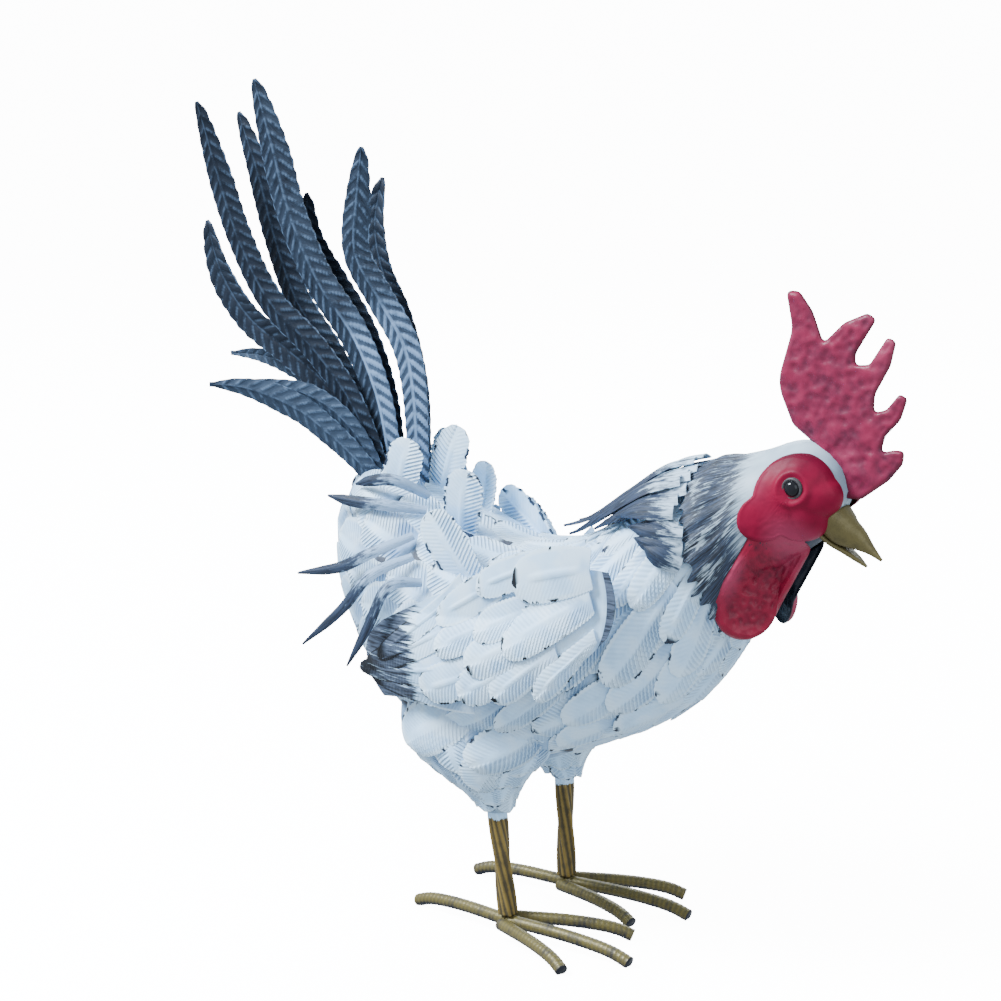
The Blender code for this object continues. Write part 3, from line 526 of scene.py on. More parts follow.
def lay_feathers(skin, table, rows, columns, turn_over=False, root=0.55, notch=0.05, rib=0.0009, ribs=0.0,
                 painted=0.0, lower=0):
    """Bends one oval grid onto a skin for each row of the table, and gives its points, quads and marks.

    Point (s, t) of a feather lies (s - 1/2) * length along its direction and t * half width across it. Both are
    divided by how many metres one unit of the skin's parameters measures there. It stands off the skin by
    base + rise * s^1.6 + midrib + barbs - camber * t^2. The paint takes the root for that far painted already.
    Where lower is 1 or -1, the barbs are pressed deeply only into the half of that sign of t.
    Table: along, around, turn, length, width, base lift, rise, tilt, tone, barbed.
    """
    cols = np.asarray(table, float).T[:, :, None, None]
    along, around, turn, length, width, base, rise, tilt, tone, barbed = cols
    s = np.linspace(0, 1, rows)[None, :, None]
    t = np.linspace(-1, 1, columns)[None, None, :]
    teeth = np.where(np.arange(rows) % 2 == 1, 1.0, 0.0)[None, :, None]
    if ribs:
        teeth = 0.5 + 0.5 * np.sin(TURN * (s * length * 1000 - SLANT * width * 500) / PITCH)
    half = oval(s, root, 0.16, 0.55) * width / 2 * (1 - notch * teeth * (np.abs(t) > 0.99))
    a = (s - 0.5) * length
    b = t * half
    unit_along, unit_around = (np.linalg.norm(step, axis=-1) for step in skin_steps(skin, along, around))
    ahead = a * np.cos(turn) - b * np.sin(turn)
    aside = a * np.sin(turn) + b * np.cos(turn)
    ridge = rib * np.exp(-(b / (0.035 * width)) ** 2) * soft_step(s, 0.1, 0.4) * (1 - soft_step(s, 0.70, 0.86))
    phase = ((s * length) * 1000 - SLANT * np.abs(b) * 1000) / PITCH
    barbed = barbed * (0.22 + 0.78 * soft_step(t * lower, -0.05, 0.1) if lower else 1.0) + 0 * s
    barb = ribs * barbed * (0.5 + 0.5 * np.sin(TURN * phase)) ** 1.4 * soft_step(np.abs(t), 0.05, 0.25)
    barb = barb * soft_step(s, 0.2, 0.4)
    lift = base + rise * s ** 1.6 + ridge + barb - 0.030 * width * t ** 2 + tilt * t * width / 2
    points = skin(along + ahead / unit_along, around + aside / unit_around, lift)
    shape = points.shape[:-1]
    vane = np.broadcast_to(together(painted + (1 - painted) * s, t, tone), shape + (3,))
    span = np.broadcast_to(together(s * length * 1000, b * 1000, barbed), shape + (3,))
    return points, turned(grid_quads(rows, columns, count=len(table)), turn_over), vane, span


def drawn_table(skin, places, angles, drawn):
    """Feathers drawn in the side view: x and z of root and tip, width, base lift, rise and barbs.

    Root and tip are sought on a grid of the skin. The feather's turn is atan2(step . around, step . along) of
    the step between them, measured against the skin's own directions half way.
    """
    drawn = np.asarray(drawn, float)
    p, a = (part.ravel() for part in np.meshgrid(places, angles, indexing="ij"))
    ground = skin(p, a)
    seen = ground[:, [0, 2]]
    root, tip = (((seen[None] - drawn[:, None, k:k + 2] * SHARE) ** 2).sum(-1).argmin(axis=1) for k in (0, 2))
    along, around = (p[root] + p[tip]) / 2, (a[root] + a[tip]) / 2
    one_along, one_around = (unit(step) for step in skin_steps(skin, along, around))
    step = ground[tip] - ground[root]
    turn = np.arctan2((step * one_around).sum(1), (step * one_along).sum(1))
    tilt = chance.normal(0.02, 0.012, len(drawn))
    tone = chance.uniform(0, 0.9, len(drawn))
    length = np.linalg.norm(step, axis=1)
    return np.column_stack([along, around, turn, length, drawn[:, 4:7] * SHARE, tilt, tone, drawn[:, 7]])


class Pile:
    """Several sheets gathered into one mesh."""

    def __init__(self):
        self.points = []
        self.faces = []
        self.vanes = []
        self.spans = []
        self.total = 0

    def add(self, points, faces, vane, span):
        self.points.append(points.reshape(-1, 3))
        self.faces.append(faces + self.total)
        self.vanes.append(vane.reshape(-1, 3))
        self.spans.append(span.reshape(-1, 3))
        self.total += len(self.points[-1])

    def made(self):
        marks = {"vane": np.vstack(self.vanes), "span": np.vstack(self.spans)}
        return np.vstack(self.points), np.vstack(self.faces), marks


# %% [markdown]
# The coat is laid like roof tiles, from the rump up to the neck, so that each row hides the roots of the one
# behind it. The feathers of one row are turned a little towards the belly on the flanks, and every second row
# is shifted by half a feather. Under them lies a dark lining, which shows as shadow in the gaps.

# %% Coat
ROW_STEP = 0.052                    # as a share of the way from the rump to the forehead
COAT_START, COAT_END = 0.03, 0.70
FEATHER_LENGTH = 56 * SHARE
FEATHER_WIDTH = 38 * SHARE
# Large feathers of the breast and belly: x and z of root and of tip, width, base lift, rise, barbs
BREAST_FEATHERS = (
    (136, 206, 104, 172, 30, 3.0, 2.4, 0.7), (140, 228, 118, 190, 28, 3.4, 2.2, 0.6),
    (112, 162, 76, 148, 32, 2.2, 2.4, 0.5), (122, 196, 80, 168, 30, 3.4, 2.2, 0.8),
    (96, 176, 56, 156, 28, 2.6, 2.2, 0.6), (84, 150, 44, 134, 32, 1.8, 2.6, 0.5),
    (68, 174, 12, 154, 24, 2.8, 2.2, 0.9), (34, 164, -24, 142, 24, 2.4, 2.2, 0.8),
    (138, 246, 115, 214, 25, 3.6, 2.2, 0.7), (88, 202, 50, 180, 25, 4.0, 2.0, 1.0),
    (106, 252, 90, 228, 22, 4.0, 1.6, 1.0), (124, 230, 83, 189, 33, 4.6, 2.2, 1.0),
    (131, 265, 97, 235, 28, 4.8, 2.0, 1.0),
)
# Large feathers of the thigh, in the same order
THIGH_FEATHERS = (
    (-8, 112, -14, 84, 24, 1.0, 2.2, 0.5), (6, 116, -2, 84, 24, 1.4, 2.2, 0.6),
    (-30, 138, -36, 100, 30, 1.4, 2.4, 0.6), (14, 130, -6, 96, 30, 2.0, 2.4, 0.8),
    (-2, 156, -52, 118, 34, 2.6, 2.8, 0.7), (30, 144, -8, 115, 32, 3.4, 2.6, 1.0),
    (56, 152, 26, 130, 30, 5.0, 2.6, 1.0),
)
LEAF_ROWS, LEAF_COLUMNS = 13, 7
HERO_ROWS, HERO_COLUMNS = 66, 13
LEAF_BASE = 0.9 * SHARE             # how far a feather's root stands off the skin
LINING_DEPTH = -0.6 * SHARE
ROOT_SHADE = 0.165                  # the paint of the lining is that of a feather this near its root


def rearward(place, angle, lift=0.0):
    """The body skin with its first parameter running from the forehead to the rump."""
    return body_skin(1 - place, angle, lift)


def coat_table():
    """Rows of feathers round the body: their tips stand ROW_STEP apart, and as many as fit side by side."""
    rows = []
    tips = np.arange(COAT_START, COAT_END, ROW_STEP)
    for number, tip in enumerate(tips):
        girth = lengths(body_skin(tip + 0.05, np.linspace(0, TURN, 60)))[-1]
        count = max(int(round(girth / (FEATHER_WIDTH * 0.72))), 5)
        angles = (np.arange(count) + 0.5 * (number % 2)) / count * TURN
        angles = np.where(angles > math.pi, angles - TURN, angles)
        angles = angles + chance.normal(0, 0.10 / count, count) * TURN
        size = 0.72 + 0.28 * min((girth / 0.40), 1.0)
        turn = np.sin(np.abs(angles)) * np.sign(angles) * math.radians(20) + chance.normal(0, 0.12, count)
        length = FEATHER_LENGTH * size * chance.uniform(0.90, 1.10, count)
        middle = 1 - (tip + 0.5 * length / BODY_LENGTH) + chance.normal(0, 0.006, count)
        rise = np.full(count, 2.4 * SHARE) + chance.uniform(-0.5, 0.5, count) * SHARE
        width = FEATHER_WIDTH * size * chance.uniform(0.92, 1.08, count)
        rows.append(together(middle, angles, turn, length, width, LEAF_BASE, rise,
                             chance.normal(0.02, 0.02, count), chance.uniform(0, 1, count),
                             chance.uniform(0.55, 1, count)))
    return np.vstack(rows)


def thigh_table():
    """Rings of feathers that point down the thigh: place of the tips, how many, and their length."""
    rows = []
    rings = ((0.93, 5, 26), (0.82, 8, 34), (0.70, 10, 40), (0.58, 11, 44))
    for number, (tip, count, length) in enumerate(rings):
        angles = (np.arange(count) + 0.5 * (number % 2) + 0.2) / count * TURN
        middle = tip - 0.5 * length * SHARE / THIGH_LENGTH + chance.normal(0, 0.01, count)
        rows.append(together(middle, angles, chance.normal(0, 0.12, count), length * SHARE,
                             min(34, length * 0.80) * SHARE, LEAF_BASE, 2.2 * SHARE,
                             chance.normal(0.02, 0.02, count), chance.uniform(0, 1, count),
                             chance.uniform(0.5, 1, count)))
    return np.vstack(rows)


def lining(skin, places, count, turn_over=False):
    """A closed tube just under the feathers, shaded like their roots."""
    angles = np.arange(count) / count * TURN
    points = capped(skin(places[:, None], angles[None, :], LINING_DEPTH))
    vane = np.tile((ROOT_SHADE, 0.0, 0.5), (len(points) * count, 1))
    return points, turned(grid_quads(len(points), count, closed=True), turn_over), vane, 0 * vane


coat = Pile()
table = coat_table()
coat.add(*lay_feathers(rearward, table, LEAF_ROWS, LEAF_COLUMNS))
coat.add(*lining(rearward, np.linspace(0.26, 1.0, 40), 48))
print("coat feathers:", len(table))

# %% [markdown]
# The thighs are bent the same way, on their own skin. A mirrored skin turns its faces inside out, so the quads
# of one side are reversed. The large feathers of breast, belly and thigh lie over the rows, and their barbs are
# ridges of the mesh.

# %% Thighs and large feathers
PRESSED = {"notch": 0.06, "rib": 0.0014, "painted": 0.22}      # how all large feathers are pressed

for name, side in SIDES.items():
    heroes = Pile()
    table = thigh_table()
    skin = thigh_skin(side)
    coat.add(*lay_feathers(skin, table, LEAF_ROWS, LEAF_COLUMNS, side > 0))
    coat.add(*lining(skin, np.linspace(0.1, 1.0, 16), 32, side > 0))
    flank = side * np.linspace(0.02, math.pi - 0.02, 200)
    large = drawn_table(rearward, np.linspace(0.25, 0.98, 200), flank, BREAST_FEATHERS)
    heroes.add(*lay_feathers(rearward, large, HERO_ROWS, HERO_COLUMNS, ribs=0.0011, lower=side, **PRESSED))
    large = drawn_table(skin, np.linspace(0, 1, 120), np.linspace(0, math.pi, 120), THIGH_FEATHERS)
    heroes.add(*lay_feathers(skin, large, HERO_ROWS, HERO_COLUMNS, side > 0, ribs=0.0011, lower=-1, **PRESSED))
    place_piece(put_mesh("large_feathers_" + name, heroes.made(), coat_paint, THIN), "white_paint", "torso")
print("on each side:", len(table), "thigh feathers,", len(BREAST_FEATHERS + THIGH_FEATHERS), "large ones")


# %% [markdown]
# Coverts, tail feathers and strips stand free of the body. Each is a ribbon: a curved midrib, a half width that
# changes along it, and a direction that the rib stands towards.


# %% Ribbons
def ribbon(spine, facing, half, t, relief):
    """Point (s, t): spine(s) + across(s) * t * half(s) + facing(s) * relief(s, t); across = run x facing."""
    run = unit(np.gradient(spine, axis=0))
    facing = np.broadcast_to(np.asarray(facing, float), spine.shape)
    facing = unit(facing - (facing * run).sum(1)[:, None] * run)
    across = np.cross(run, facing)
    return (spine[:, None] + across[:, None] * (half[:, None] * t)[..., None]
            + facing[:, None] * np.broadcast_to(relief, (len(spine), len(t)))[..., None])


# White coverts round the tail's root: root x, y, z, tip x, y, z, width
COVERTS = (
    (-90, -20, 260, -80, -21, 297, 25), (-70, -2, 258, -58, 0, 304, 23), (-42, -22, 243, -33, -30, 284, 26),
    (-17, -50, 222, -46, -52, 261, 26), (-90, 24, 260, -80, 25, 296, 22), (-50, 12, 244, -47, 14, 281, 20),
    (-6, 20, 232, -42, 25, 262, 26), (-122, 10, 238, -143, 12, 262, 20), (-20, 50, 222, -52, 58, 248, 26),
)
COVERT_ROWS, COVERT_COLUMNS = 60, 17


def covert(root, tip, width, tone):
    """One rounded covert: a ribbon from root to tip that bows out by a sine, with barbs pressed into one half.

    Its rim is ragged, and where the seam runs along the other edge, the paint takes the sheet for bare.
    """
    side = -1 if root[1] < 0 else 1
    s = np.linspace(0, 1, COVERT_ROWS)
    t = np.linspace(-1, 1, COVERT_COLUMNS)
    spine = np.array(root) * SHARE + (np.array(tip) - np.array(root)) * SHARE * s[:, None]
    spine[:, 1] += side * 2 * SHARE * np.sin(s * math.pi)
    mm = lengths(spine) * 1000
    half = oval(s, 0.80, 0.12, 0.6) * width / 2 * SHARE
    phase = (mm[:, None] - SLANT * np.abs(t) * half[:, None] * 1000) / PITCH
    flip = 1 if tone > 0.5 else -1
    barbed = 0.12 + 0.75 * soft_step(t * flip, -0.1, 0.25)
    barbs = 0.0006 * barbed * (0.5 + 0.5 * np.sin(TURN * phase)) * soft_step(np.abs(t), 0.1, 0.35)
    rib = 0.0010 * np.exp(-(t / 0.10) ** 2) * (1 - soft_step(s, 0.6, 0.9))[:, None]
    half = half * (1 + 0.02 * np.sin(TURN * mm / PITCH) + 0.035 * np.sin(mm * 0.9 + tone * 20))
    relief = rib + barbs - 0.10 * half[:, None] * t ** 2
    points = ribbon(spine, (0.15, side, 0.1), half, t, relief)
    seam = (t * flip < -0.80)[None, :] & (np.sin(mm * 0.5 + tone * 40) > -0.2)[:, None] & (s < 0.8)[:, None]
    vane = together(np.where(seam, 0.08, s[:, None] * 0.6 + 0.4), t[None, :], tone)
    span = together(mm[:, None], half[:, None] * t * 1000, barbed)
    return points, grid_quads(COVERT_ROWS, COVERT_COLUMNS), vane, span


for row in COVERTS:
    coat.add(*covert(row[0:3], row[3:6], row[6], chance.uniform(0, 1)))
place_piece(put_mesh("coat", coat.made(), coat_paint, THIN), "white_paint", "torso")

# %% [markdown]
# A wing is a panel with its own pressed feathers, larger and closer to the eye than those of the coat, so their
# barbs are real ridges in the mesh. Its four rear feathers end in rounded tips that were dipped in navy and
# brushed out into the white.

# %% Wings
# Feathers of a wing: x and z of root and of tip, width, base lift, rise, barbs
WING_FEATHERS = (
    (8, 168, -70, 154, 20, 0.4, 1.0, 0.3), (6, 182, -84, 163, 20, 0.8, 1.2, 0.3),
    (4, 197, -81, 175, 20, 1.2, 1.2, 0.3), (2, 211, -70, 187, 21, 1.6, 1.2, 0.3),
    (12, 178, -30, 162, 26, 1.8, 1.2, 0.6), (37, 184, -3, 166, 26, 2.2, 1.4, 1),
    (62, 192, 20, 172, 25, 2.6, 1.6, 1), (85, 200, 44, 181, 22, 2.8, 1.6, 1),
    (20, 206, -21, 192, 25, 2.2, 1.4, 1), (20, 224, -22, 212, 25, 2.2, 1.4, 0.1),
    (52, 204, 2, 187, 30, 2.8, 1.6, 1), (46, 217, 5, 205, 26, 3.2, 1.4, 0.8),
    (50, 243, 4, 231, 22, 2.6, 1.4, 0.1), (84, 226, 25, 202, 34, 3.6, 1.4, 1),
    (84, 246, 27, 234, 33, 4.2, 1.0, 0.15),
)
WING_ROWS, WING_COLUMNS = 72, 17


def wing_panel(side):
    """The panel under the feathers: the wing skin itself, painted as a feather is, and navy along its front as
    painted shadow of the seam there.
    """
    along, down = np.meshgrid(np.linspace(0.0, 0.97, 60), np.linspace(0.0, 1.0, 24), indexing="ij")
    points = wing_skin(side)(along, down, 0.2 * SHARE)
    front = soft_step(along, 0.050, 0.080)
    # painted shadow: the front band keeps the navy of a feather's root, where the wing's front edge casts its
    # seam
    vane = together(0.06 + 0.5 * front, 0.0, 0.4)
    return points, turned(grid_quads(*along.shape), side < 0), vane, np.zeros(points.shape)


for name, side in SIDES.items():
    wing = Pile()
    skin = wing_skin(side)
    table = drawn_table(skin, np.linspace(-0.1, 1.2, 260), np.linspace(-0.1, 1.1, 160), WING_FEATHERS)
    wing.add(*lay_feathers(skin, table, WING_ROWS, WING_COLUMNS, side < 0, root=0.85, ribs=0.0010, lower=1,
                           **PRESSED))
    wing.add(*wing_panel(side))
    place_piece(put_mesh("wing_feathers_" + name, wing.made(), wing_paint, THIN), "white_paint", "wing_" + name)

# %% [markdown]
# The neck and head are one smooth shell. Towards the shoulders it flares over the coat as a ragged cape, whose
# edge is cut into points and pressed into flutes. Its paint is streaked with navy there, brushed along the
# neck.

# %% Neck and head
SEAM = 0.73
CAPE_REACH, CAPE_SLANT = 0.660, 0.042
SHELL_ROWS, SHELL_COLUMNS = 130, 240


def cape_edge(angle):
    """Where the cape ends: a slanted line, cut into points of different depth."""
    teeth = 0.5 + 0.5 * np.sin(angle * 31 + 1.3 * np.sin(angle * 7))
    deep = 0.5 + 0.5 * np.sin(angle * 11 + 2)
    return CAPE_REACH - CAPE_SLANT * np.cos(angle) + 0.010 - (0.012 * teeth ** 1.5 + 0.008 * deep * teeth)


def shell_lift(place):
    """How far the shell stands off the body: 0 on the head, 3 shares at the seam, and more over the coat."""
    neck = np.interp(place, [SEAM, SEAM + 0.06, SEAM + 0.11, 1], [3, 1.2, 0, 0])
    return (neck + 4.4 * soft_step(SEAM - place, 0, 0.07)) * SHARE


def shell_mesh():
    """Rings from the cape's edge to the forehead: place = edge + (1 - edge) * share of the way."""
    angle = np.arange(SHELL_COLUMNS) / SHELL_COLUMNS * TURN
    share = np.linspace(0, 1, SHELL_ROWS)[:, None] ** 1.15
    edge = cape_edge(angle)[None, :]
    place = edge + (1 - edge) * share
    flute = 0.0006 * np.sin(angle * 40 + 3 * np.sin(angle * 3))[None, :]
    flute = flute * (1 - soft_step(place, SEAM - 0.05, SEAM + 0.02))
    points = body_skin(place, angle[None, :], shell_lift(place) + flute)
    end = np.broadcast_to(points[-1].mean(0) + np.array((0.0008, 0, 0)), points[-1:].shape)
    mark = together(place, np.where(angle > math.pi, angle - TURN, angle), 0.0)
    quads = grid_quads(SHELL_ROWS + 1, SHELL_COLUMNS, closed=True)[:, ::-1]
    return np.concatenate([points, end]), quads, {"neck": np.concatenate([mark, mark[-1:]])}


def shell_paint():
    """Pale paint, with navy brushed along the neck: streaks of stretched noise that thin out upwards. The white
    is greyer than the feathers', and greyer still on the crown, as painted shade.
    """
    paint = Finish("neck_white", specular_ior_level=0.3)
    place, angle, _ = paint.mark("neck")
    spot = paint.places()
    streak = paint.noise(paint.joined(place * 14, angle * 16, 0.0), 1.0, 4, 0.6)
    hair = paint.noise(paint.joined(place * 26, angle * 60, 0.0), 1.0, 3, 0.65)
    patch = paint.noise(paint.joined(place * 22, angle * 5, 1.0), 1.0, 3, 0.6)
    cloud = paint.noise(spot, 0.02, 2)
    reach = place + streak * 0.10 + hair * 0.05 - angle.sized() * 0.010
    dark = reach.over(0.835, 0.795)
    worn = (hair * 0.6 + patch * 0.7).over(0.68, 0.78)
    dark = dark * (1 - worn * 0.95)
    throat = angle.sized().over(2.10, 2.35) * place.over(0.77, 0.80)
    dark = dark.at_least(throat)
    # painted shade: the shell's white is a greyer copy of the feathers' white, in random clouds
    body = paint.mix(cloud.over(0.30, 0.70), (0.44, 0.55, 0.64), (0.28, 0.37, 0.45))
    # painted shade on the crown, broken up by the hair streaks
    crown = place.over(0.88, 0.93) * angle.sized().over(1.1, 0.6) * (0.35 + hair * 0.9)
    body = paint.mix(crown.at_most(1.0), body, (0.20, 0.27, 0.34))
    night = paint.mix(hair.over(0.40, 0.66), NAVY, (0.045, 0.070, 0.125))
    paint.feed("Base Color", paint.mix(dark, body, night))
    paint.feed("Roughness", 0.38 + hair * 0.2)
    paint.bumped(hair * place.over(0.80, 0.70) + cloud * 0.2, 0.0005)
    return paint.material


place_piece(put_mesh("neck_shell", shell_mesh(), shell_paint(), SHEET), "white_paint", "head_and_neck")

# %% [markdown]
# The long tail feathers are strips pressed into a row of V ridges, navy with silver-blue brushed over the
# ridges. The ridges are made in the mesh, and the same wave is kept as a mark, so the brush finds them.

# %% Tail feathers
# Points on the midrib from the tip to the root as x and z, y of the tip and of the root, width, silver share
TAIL = (
    (((-234.5, 496), (-223.5, 454), (-209.5, 412), (-188.5, 374), (-155.5, 345),
      (-127.5, 311), (-104.8, 262)), -26, -10.5, 17, 0.12),
    (((-259, 417), (-247, 384), (-225, 357), (-195, 339), (-165, 320),
      (-139.6, 295), (-115.3, 258)), 14, 9, 17, 0.15),
    (((-226, 488), (-210, 450), (-197, 411), (-180, 373), (-154, 341),
      (-130.2, 307), (-106.6, 262)), 6, -1.5, 17, 0.2),
    (((-204.5, 510), (-191.5, 469), (-178.5, 427), (-158.5, 388), (-131.5, 354),
      (-112.9, 314), (-102.5, 262)), -6, -6.5, 20, 0.5),
    (((-178.5, 439), (-172.5, 409), (-153.5, 384), (-134.5, 360), (-120.5, 332),
      (-110.9, 302), (-105.5, 262)), 12, 3, 15, 0.1),
    (((-121, 472), (-125.5, 439), (-127, 407), (-110, 380), (-92, 353),
      (-84.8, 321), (-81.9, 266)), -10, -9, 18, 1.0),
    (((-130, 450), (-133, 421), (-126, 394), (-111, 369), (-100, 342),
      (-92.8, 313), (-89.9, 266)), 26, 10, 15, 0.2),
    (((-257, 328), (-232, 330), (-206, 327), (-182, 319), (-162, 304),
      (-142, 287), (-120, 258)), 34, 14, 12, 0.38),
    (((-215, 322), (-195, 321), (-175, 316), (-156, 308), (-139, 296),
      (-122, 282), (-104, 264)), -44, -17.5, 16, 0.38),
    (((-195, 324), (-177, 322), (-159, 319), (-142, 312), (-128, 301),
      (-116, 286), (-104, 262)), -30, -14, 12, 0.38),
)
TAIL_TIP = 1.6 * SHARE
FOLD = 0.20
VEE_PITCH = 8.2                     # of the ridges, in millimetres
VEE_SLANT = 1.05                    # how far a ridge runs back for each step outwards
WIDENED = 1.14                      # the thin pressed edge goes past the solid
TAIL_COLUMNS = 15
SLENDER_SILVER = 0.38               # the low feathers are greyer and come to a finer point


def tail_feather(points, tip_y, root_y, width, silver):
    """A folded ribbon with V ridges: the cube of a wave of (along - slant * |across|) / pitch, and a midrib."""
    count = int(lengths(np.array(points)).max() / 1.0)
    s = np.linspace(0, 1, count)
    t = np.linspace(-1, 1, TAIL_COLUMNS)
    flat = spline(np.array(points) * SHARE, s)
    spine = np.stack([flat[:, 0], (tip_y + (root_y - tip_y) * s ** 0.7) * SHARE, flat[:, 1]], axis=1)
    slender, power = (0.38, 0.60) if silver == SLENDER_SILVER else (0.20, 0.42)
    swell = np.minimum((np.maximum(s, 1e-6) / slender) ** power, 1)
    swell *= 1 - 0.3 * np.clip((s - 0.62) / 0.38, 0, 1) ** 1.5
    half = np.maximum(WIDENED * width / 2 * SHARE * swell, TAIL_TIP)
    mm = lengths(spine) * 1000
    phase = (mm[:, None] - VEE_SLANT * np.abs(t) * half[:, None] * 1000) / VEE_PITCH
    wave = 0.5 + 0.5 * np.cos(TURN * phase)
    crest = wave ** 3 * soft_step(np.abs(t), 0.05, 0.25) * (1 - soft_step(np.abs(t), 0.93, 1.0) * 0.5)
    rib = np.exp(-(t / 0.10) ** 2)
    relief = 0.0008 * crest + 0.0006 * rib - FOLD * half[:, None] * np.abs(t)
    edge = half * (1 + 0.022 * np.sin(TURN * (mm - VEE_SLANT * half * 1000) / VEE_PITCH))
    side = 1 if root_y > 8 else -1
    made = ribbon(spine, (0, side, 0), edge, t, relief)
    vane = together(s[:, None], t[None, :], silver)
    span = together(mm[:, None], half[:, None] * t * 1000, np.maximum(crest, rib[None, :] * 0.8))
    return made, grid_quads(count, TAIL_COLUMNS), {"vane": vane, "span": span}


def tail_paint():
    """Navy, with silver-blue dry brushed over the ridges in strokes that run outwards, and a pale rim in dabs
    that is a painted highlight.
    """
    paint = Finish("tail_navy", specular_ior_level=0.08)
    share, across, silver = paint.mark("vane")
    along_mm, across_mm, crest = paint.mark("span")
    spot = paint.places()
    skewed = along_mm - across_mm.sized() * VEE_SLANT
    bristle = paint.noise(paint.joined(skewed * 2.2, across_mm * 0.35, share * 9), 1.0, 3, 0.6)
    cloud = paint.noise(spot, 0.016, 3)
    dabs = paint.noise(spot, 0.0045, 3, 0.6)
    proud = crest.over(0.15, 0.95) * dabs.over(0.34, 0.60)
    full = silver.over(0.6, 0.8)
    # painted light: where the silver share is at least 0.45, the silver also covers the half of the fold that
    # is seen lit
    painted_lit_half = silver.over(0.4, 0.45) * across.over(0.04, -0.04) * share.over(0.60, 0.70)
    zone = (share.over(0.46, 0.60) * full * 0.72).at_least(painted_lit_half)
    haze = (cloud * 0.5 + bristle * 0.8).over(0.42, 0.80)
    pale = silver.at_most(0.4)
    slender = silver.over(0.30, 0.36) * silver.over(0.45, 0.40) * (0.5 + bristle)
    ridges = crest.over(0.0, 0.45) * (0.45 + dabs * 0.45)
    brushed = proud * (0.14 + pale * 0.40) + zone * (0.03 + ridges + haze * 0.16)
    brushed = brushed + haze * pale * 0.20 + slender * 0.09
    # painted highlight: pale dabs along both rims
    edge = across.sized().over(0.90, 0.98) * dabs.over(0.42, 0.60) * 0.45
    body = paint.mix(cloud, (0.005, 0.007, 0.012), NAVY)
    paint.feed("Base Color", paint.mix(brushed.at_least(edge).at_most(1.0), body, SILVER))
    paint.feed("Roughness", 0.42 + bristle * 0.2)
    paint.bumped(bristle, 0.0002)
    return paint.material


long_paint = tail_paint()
for number, row in enumerate(TAIL, 1):
    feather = put_mesh("tail_plume_%02d" % number, tail_feather(*row), long_paint, LONG_SHEET)
    place_piece(feather, "navy_paint", "tail_feather_%02d" % number)

# %% [markdown]
# Thin strips hang over the rump, and narrow pointed feathers sweep back over the shoulders. Both are ribbons
# too. Their paint starts pale at the root and ends in a dark tip.

# %% Saddle and shoulder feathers
# Three points from the tip as x, y and z, and where the root is welded, as place along the body and angle
SADDLE = (
    ((-125, 44, 261), (-106, 46, 260), (-84, 45, 260), (0.200, 30)),
    ((-111, 34, 268), (-98, 37, 272), (-80, 37, 274), (0.185, 22)),
    ((-134, 64, 215), (-102, 66, 223), (-78, 66, 235), (0.215, 46)),
    ((-121, 78, 175), (-91, 80, 201), (-72, 76, 224), (0.235, 54)),
    ((-84, 84, 168), (-68, 86, 194), (-56, 81, 220), (0.265, 60)),
)
SADDLE_WIDTH = 7.5 * SHARE
# Place and angle of the tip, and angle of the root under the cape
SHOULDER = ((0.36, 6, 6), (0.385, 14, 17), (0.41, 22, 28), (0.45, 28, 39), (0.50, 35, 50), (0.56, 43, 61))
# Six more, fused to the coat, as place and angle of the tip and place and angle of the root
SHORT_STRIPS = ((0.530, 44, 0.652, 66), (0.548, 52, 0.650, 74), (0.572, 59, 0.648, 82),
                (0.395, 10, 0.628, 11), (0.425, 18, 0.630, 22), (0.455, 25, 0.634, 33))
SHOULDER_WIDTH = 12.5 * SHARE
SHOULDER_LIFT = 9.5 * SHARE
SHOULDER_LAP = SHEET + 2.1 * SHARE  # how far every other one lies over its neighbours
SHOULDER_BOW = 3 * SHARE            # how much higher one stands in its middle
STRIP_COLUMNS = 9


def strip_paint(name, pale, light, dark, worn):
    """Long brush strokes: navy towards the tip, with bristle marks along the feather that leave pale lines."""
    paint = Finish(name, specular_ior_level=0.2)
    share, _, tone = paint.mark("vane")
    along_mm, across_mm, _ = paint.mark("span")
    bristle = paint.noise(paint.joined(along_mm * 0.07, across_mm * 1.3, tone * 40), 1.0, 4, 0.65)
    patch = paint.noise(paint.joined(along_mm * 0.12, across_mm * 0.30, tone * 70), 1.0, 3, 0.6)
    night = share.over(pale, 0.0) * 0.50 + patch * 0.6 + bristle * 0.55
    mask = night.over(worn, worn + 0.22)
    paint.feed("Base Color", paint.mix(mask, light, paint.mix(bristle.over(0.3, 0.7), dark, SLATE)))
    paint.feed("Roughness", 0.38 + bristle * 0.2)
    paint.bumped(bristle, 0.0004)
    return paint.material


def strip(spine, facing, half, tone, rib=0.0006):
    """A narrow ribbon with a rounded rib and dipped edges: rib * (1 - t^2) - fold * |t|."""
    t = np.linspace(-1, 1, STRIP_COLUMNS)
    s = np.linspace(0, 1, len(spine))
    mm = lengths(spine) * 1000
    relief = rib * (1 - t ** 2) - FOLD * half[:, None] * np.abs(t)
    made = ribbon(spine, facing, half, t, relief)
    vane = together(s[:, None], t[None, :], tone)
    span = together(mm[:, None], half[:, None] * t * 1000, 0.5)
    return made, grid_quads(len(spine), STRIP_COLUMNS), {"vane": vane, "span": span}


def shoulder_strip(side, tip, root, lift):
    """A ribbon from tip to root over the body, each given by place and angle, that bows out half way."""
    way = np.linspace(0, 1, 70)
    place = tip[0] + (root[0] - tip[0]) * way
    angle = side * np.radians(tip[1] + (root[1] - tip[1]) * way)
    spine = body_skin(place, angle, lift + 4 * SHOULDER_BOW * way * (1 - way))
    half = SHOULDER_WIDTH / 2 * np.interp(way, [0, 0.25, 0.5, 0.75, 1], [0.10, 0.75, 1, 1, 0.8])
    return strip(spine, spine - body_skin(place, angle, 0 * way), half, chance.uniform(0, 1), 0.0012)


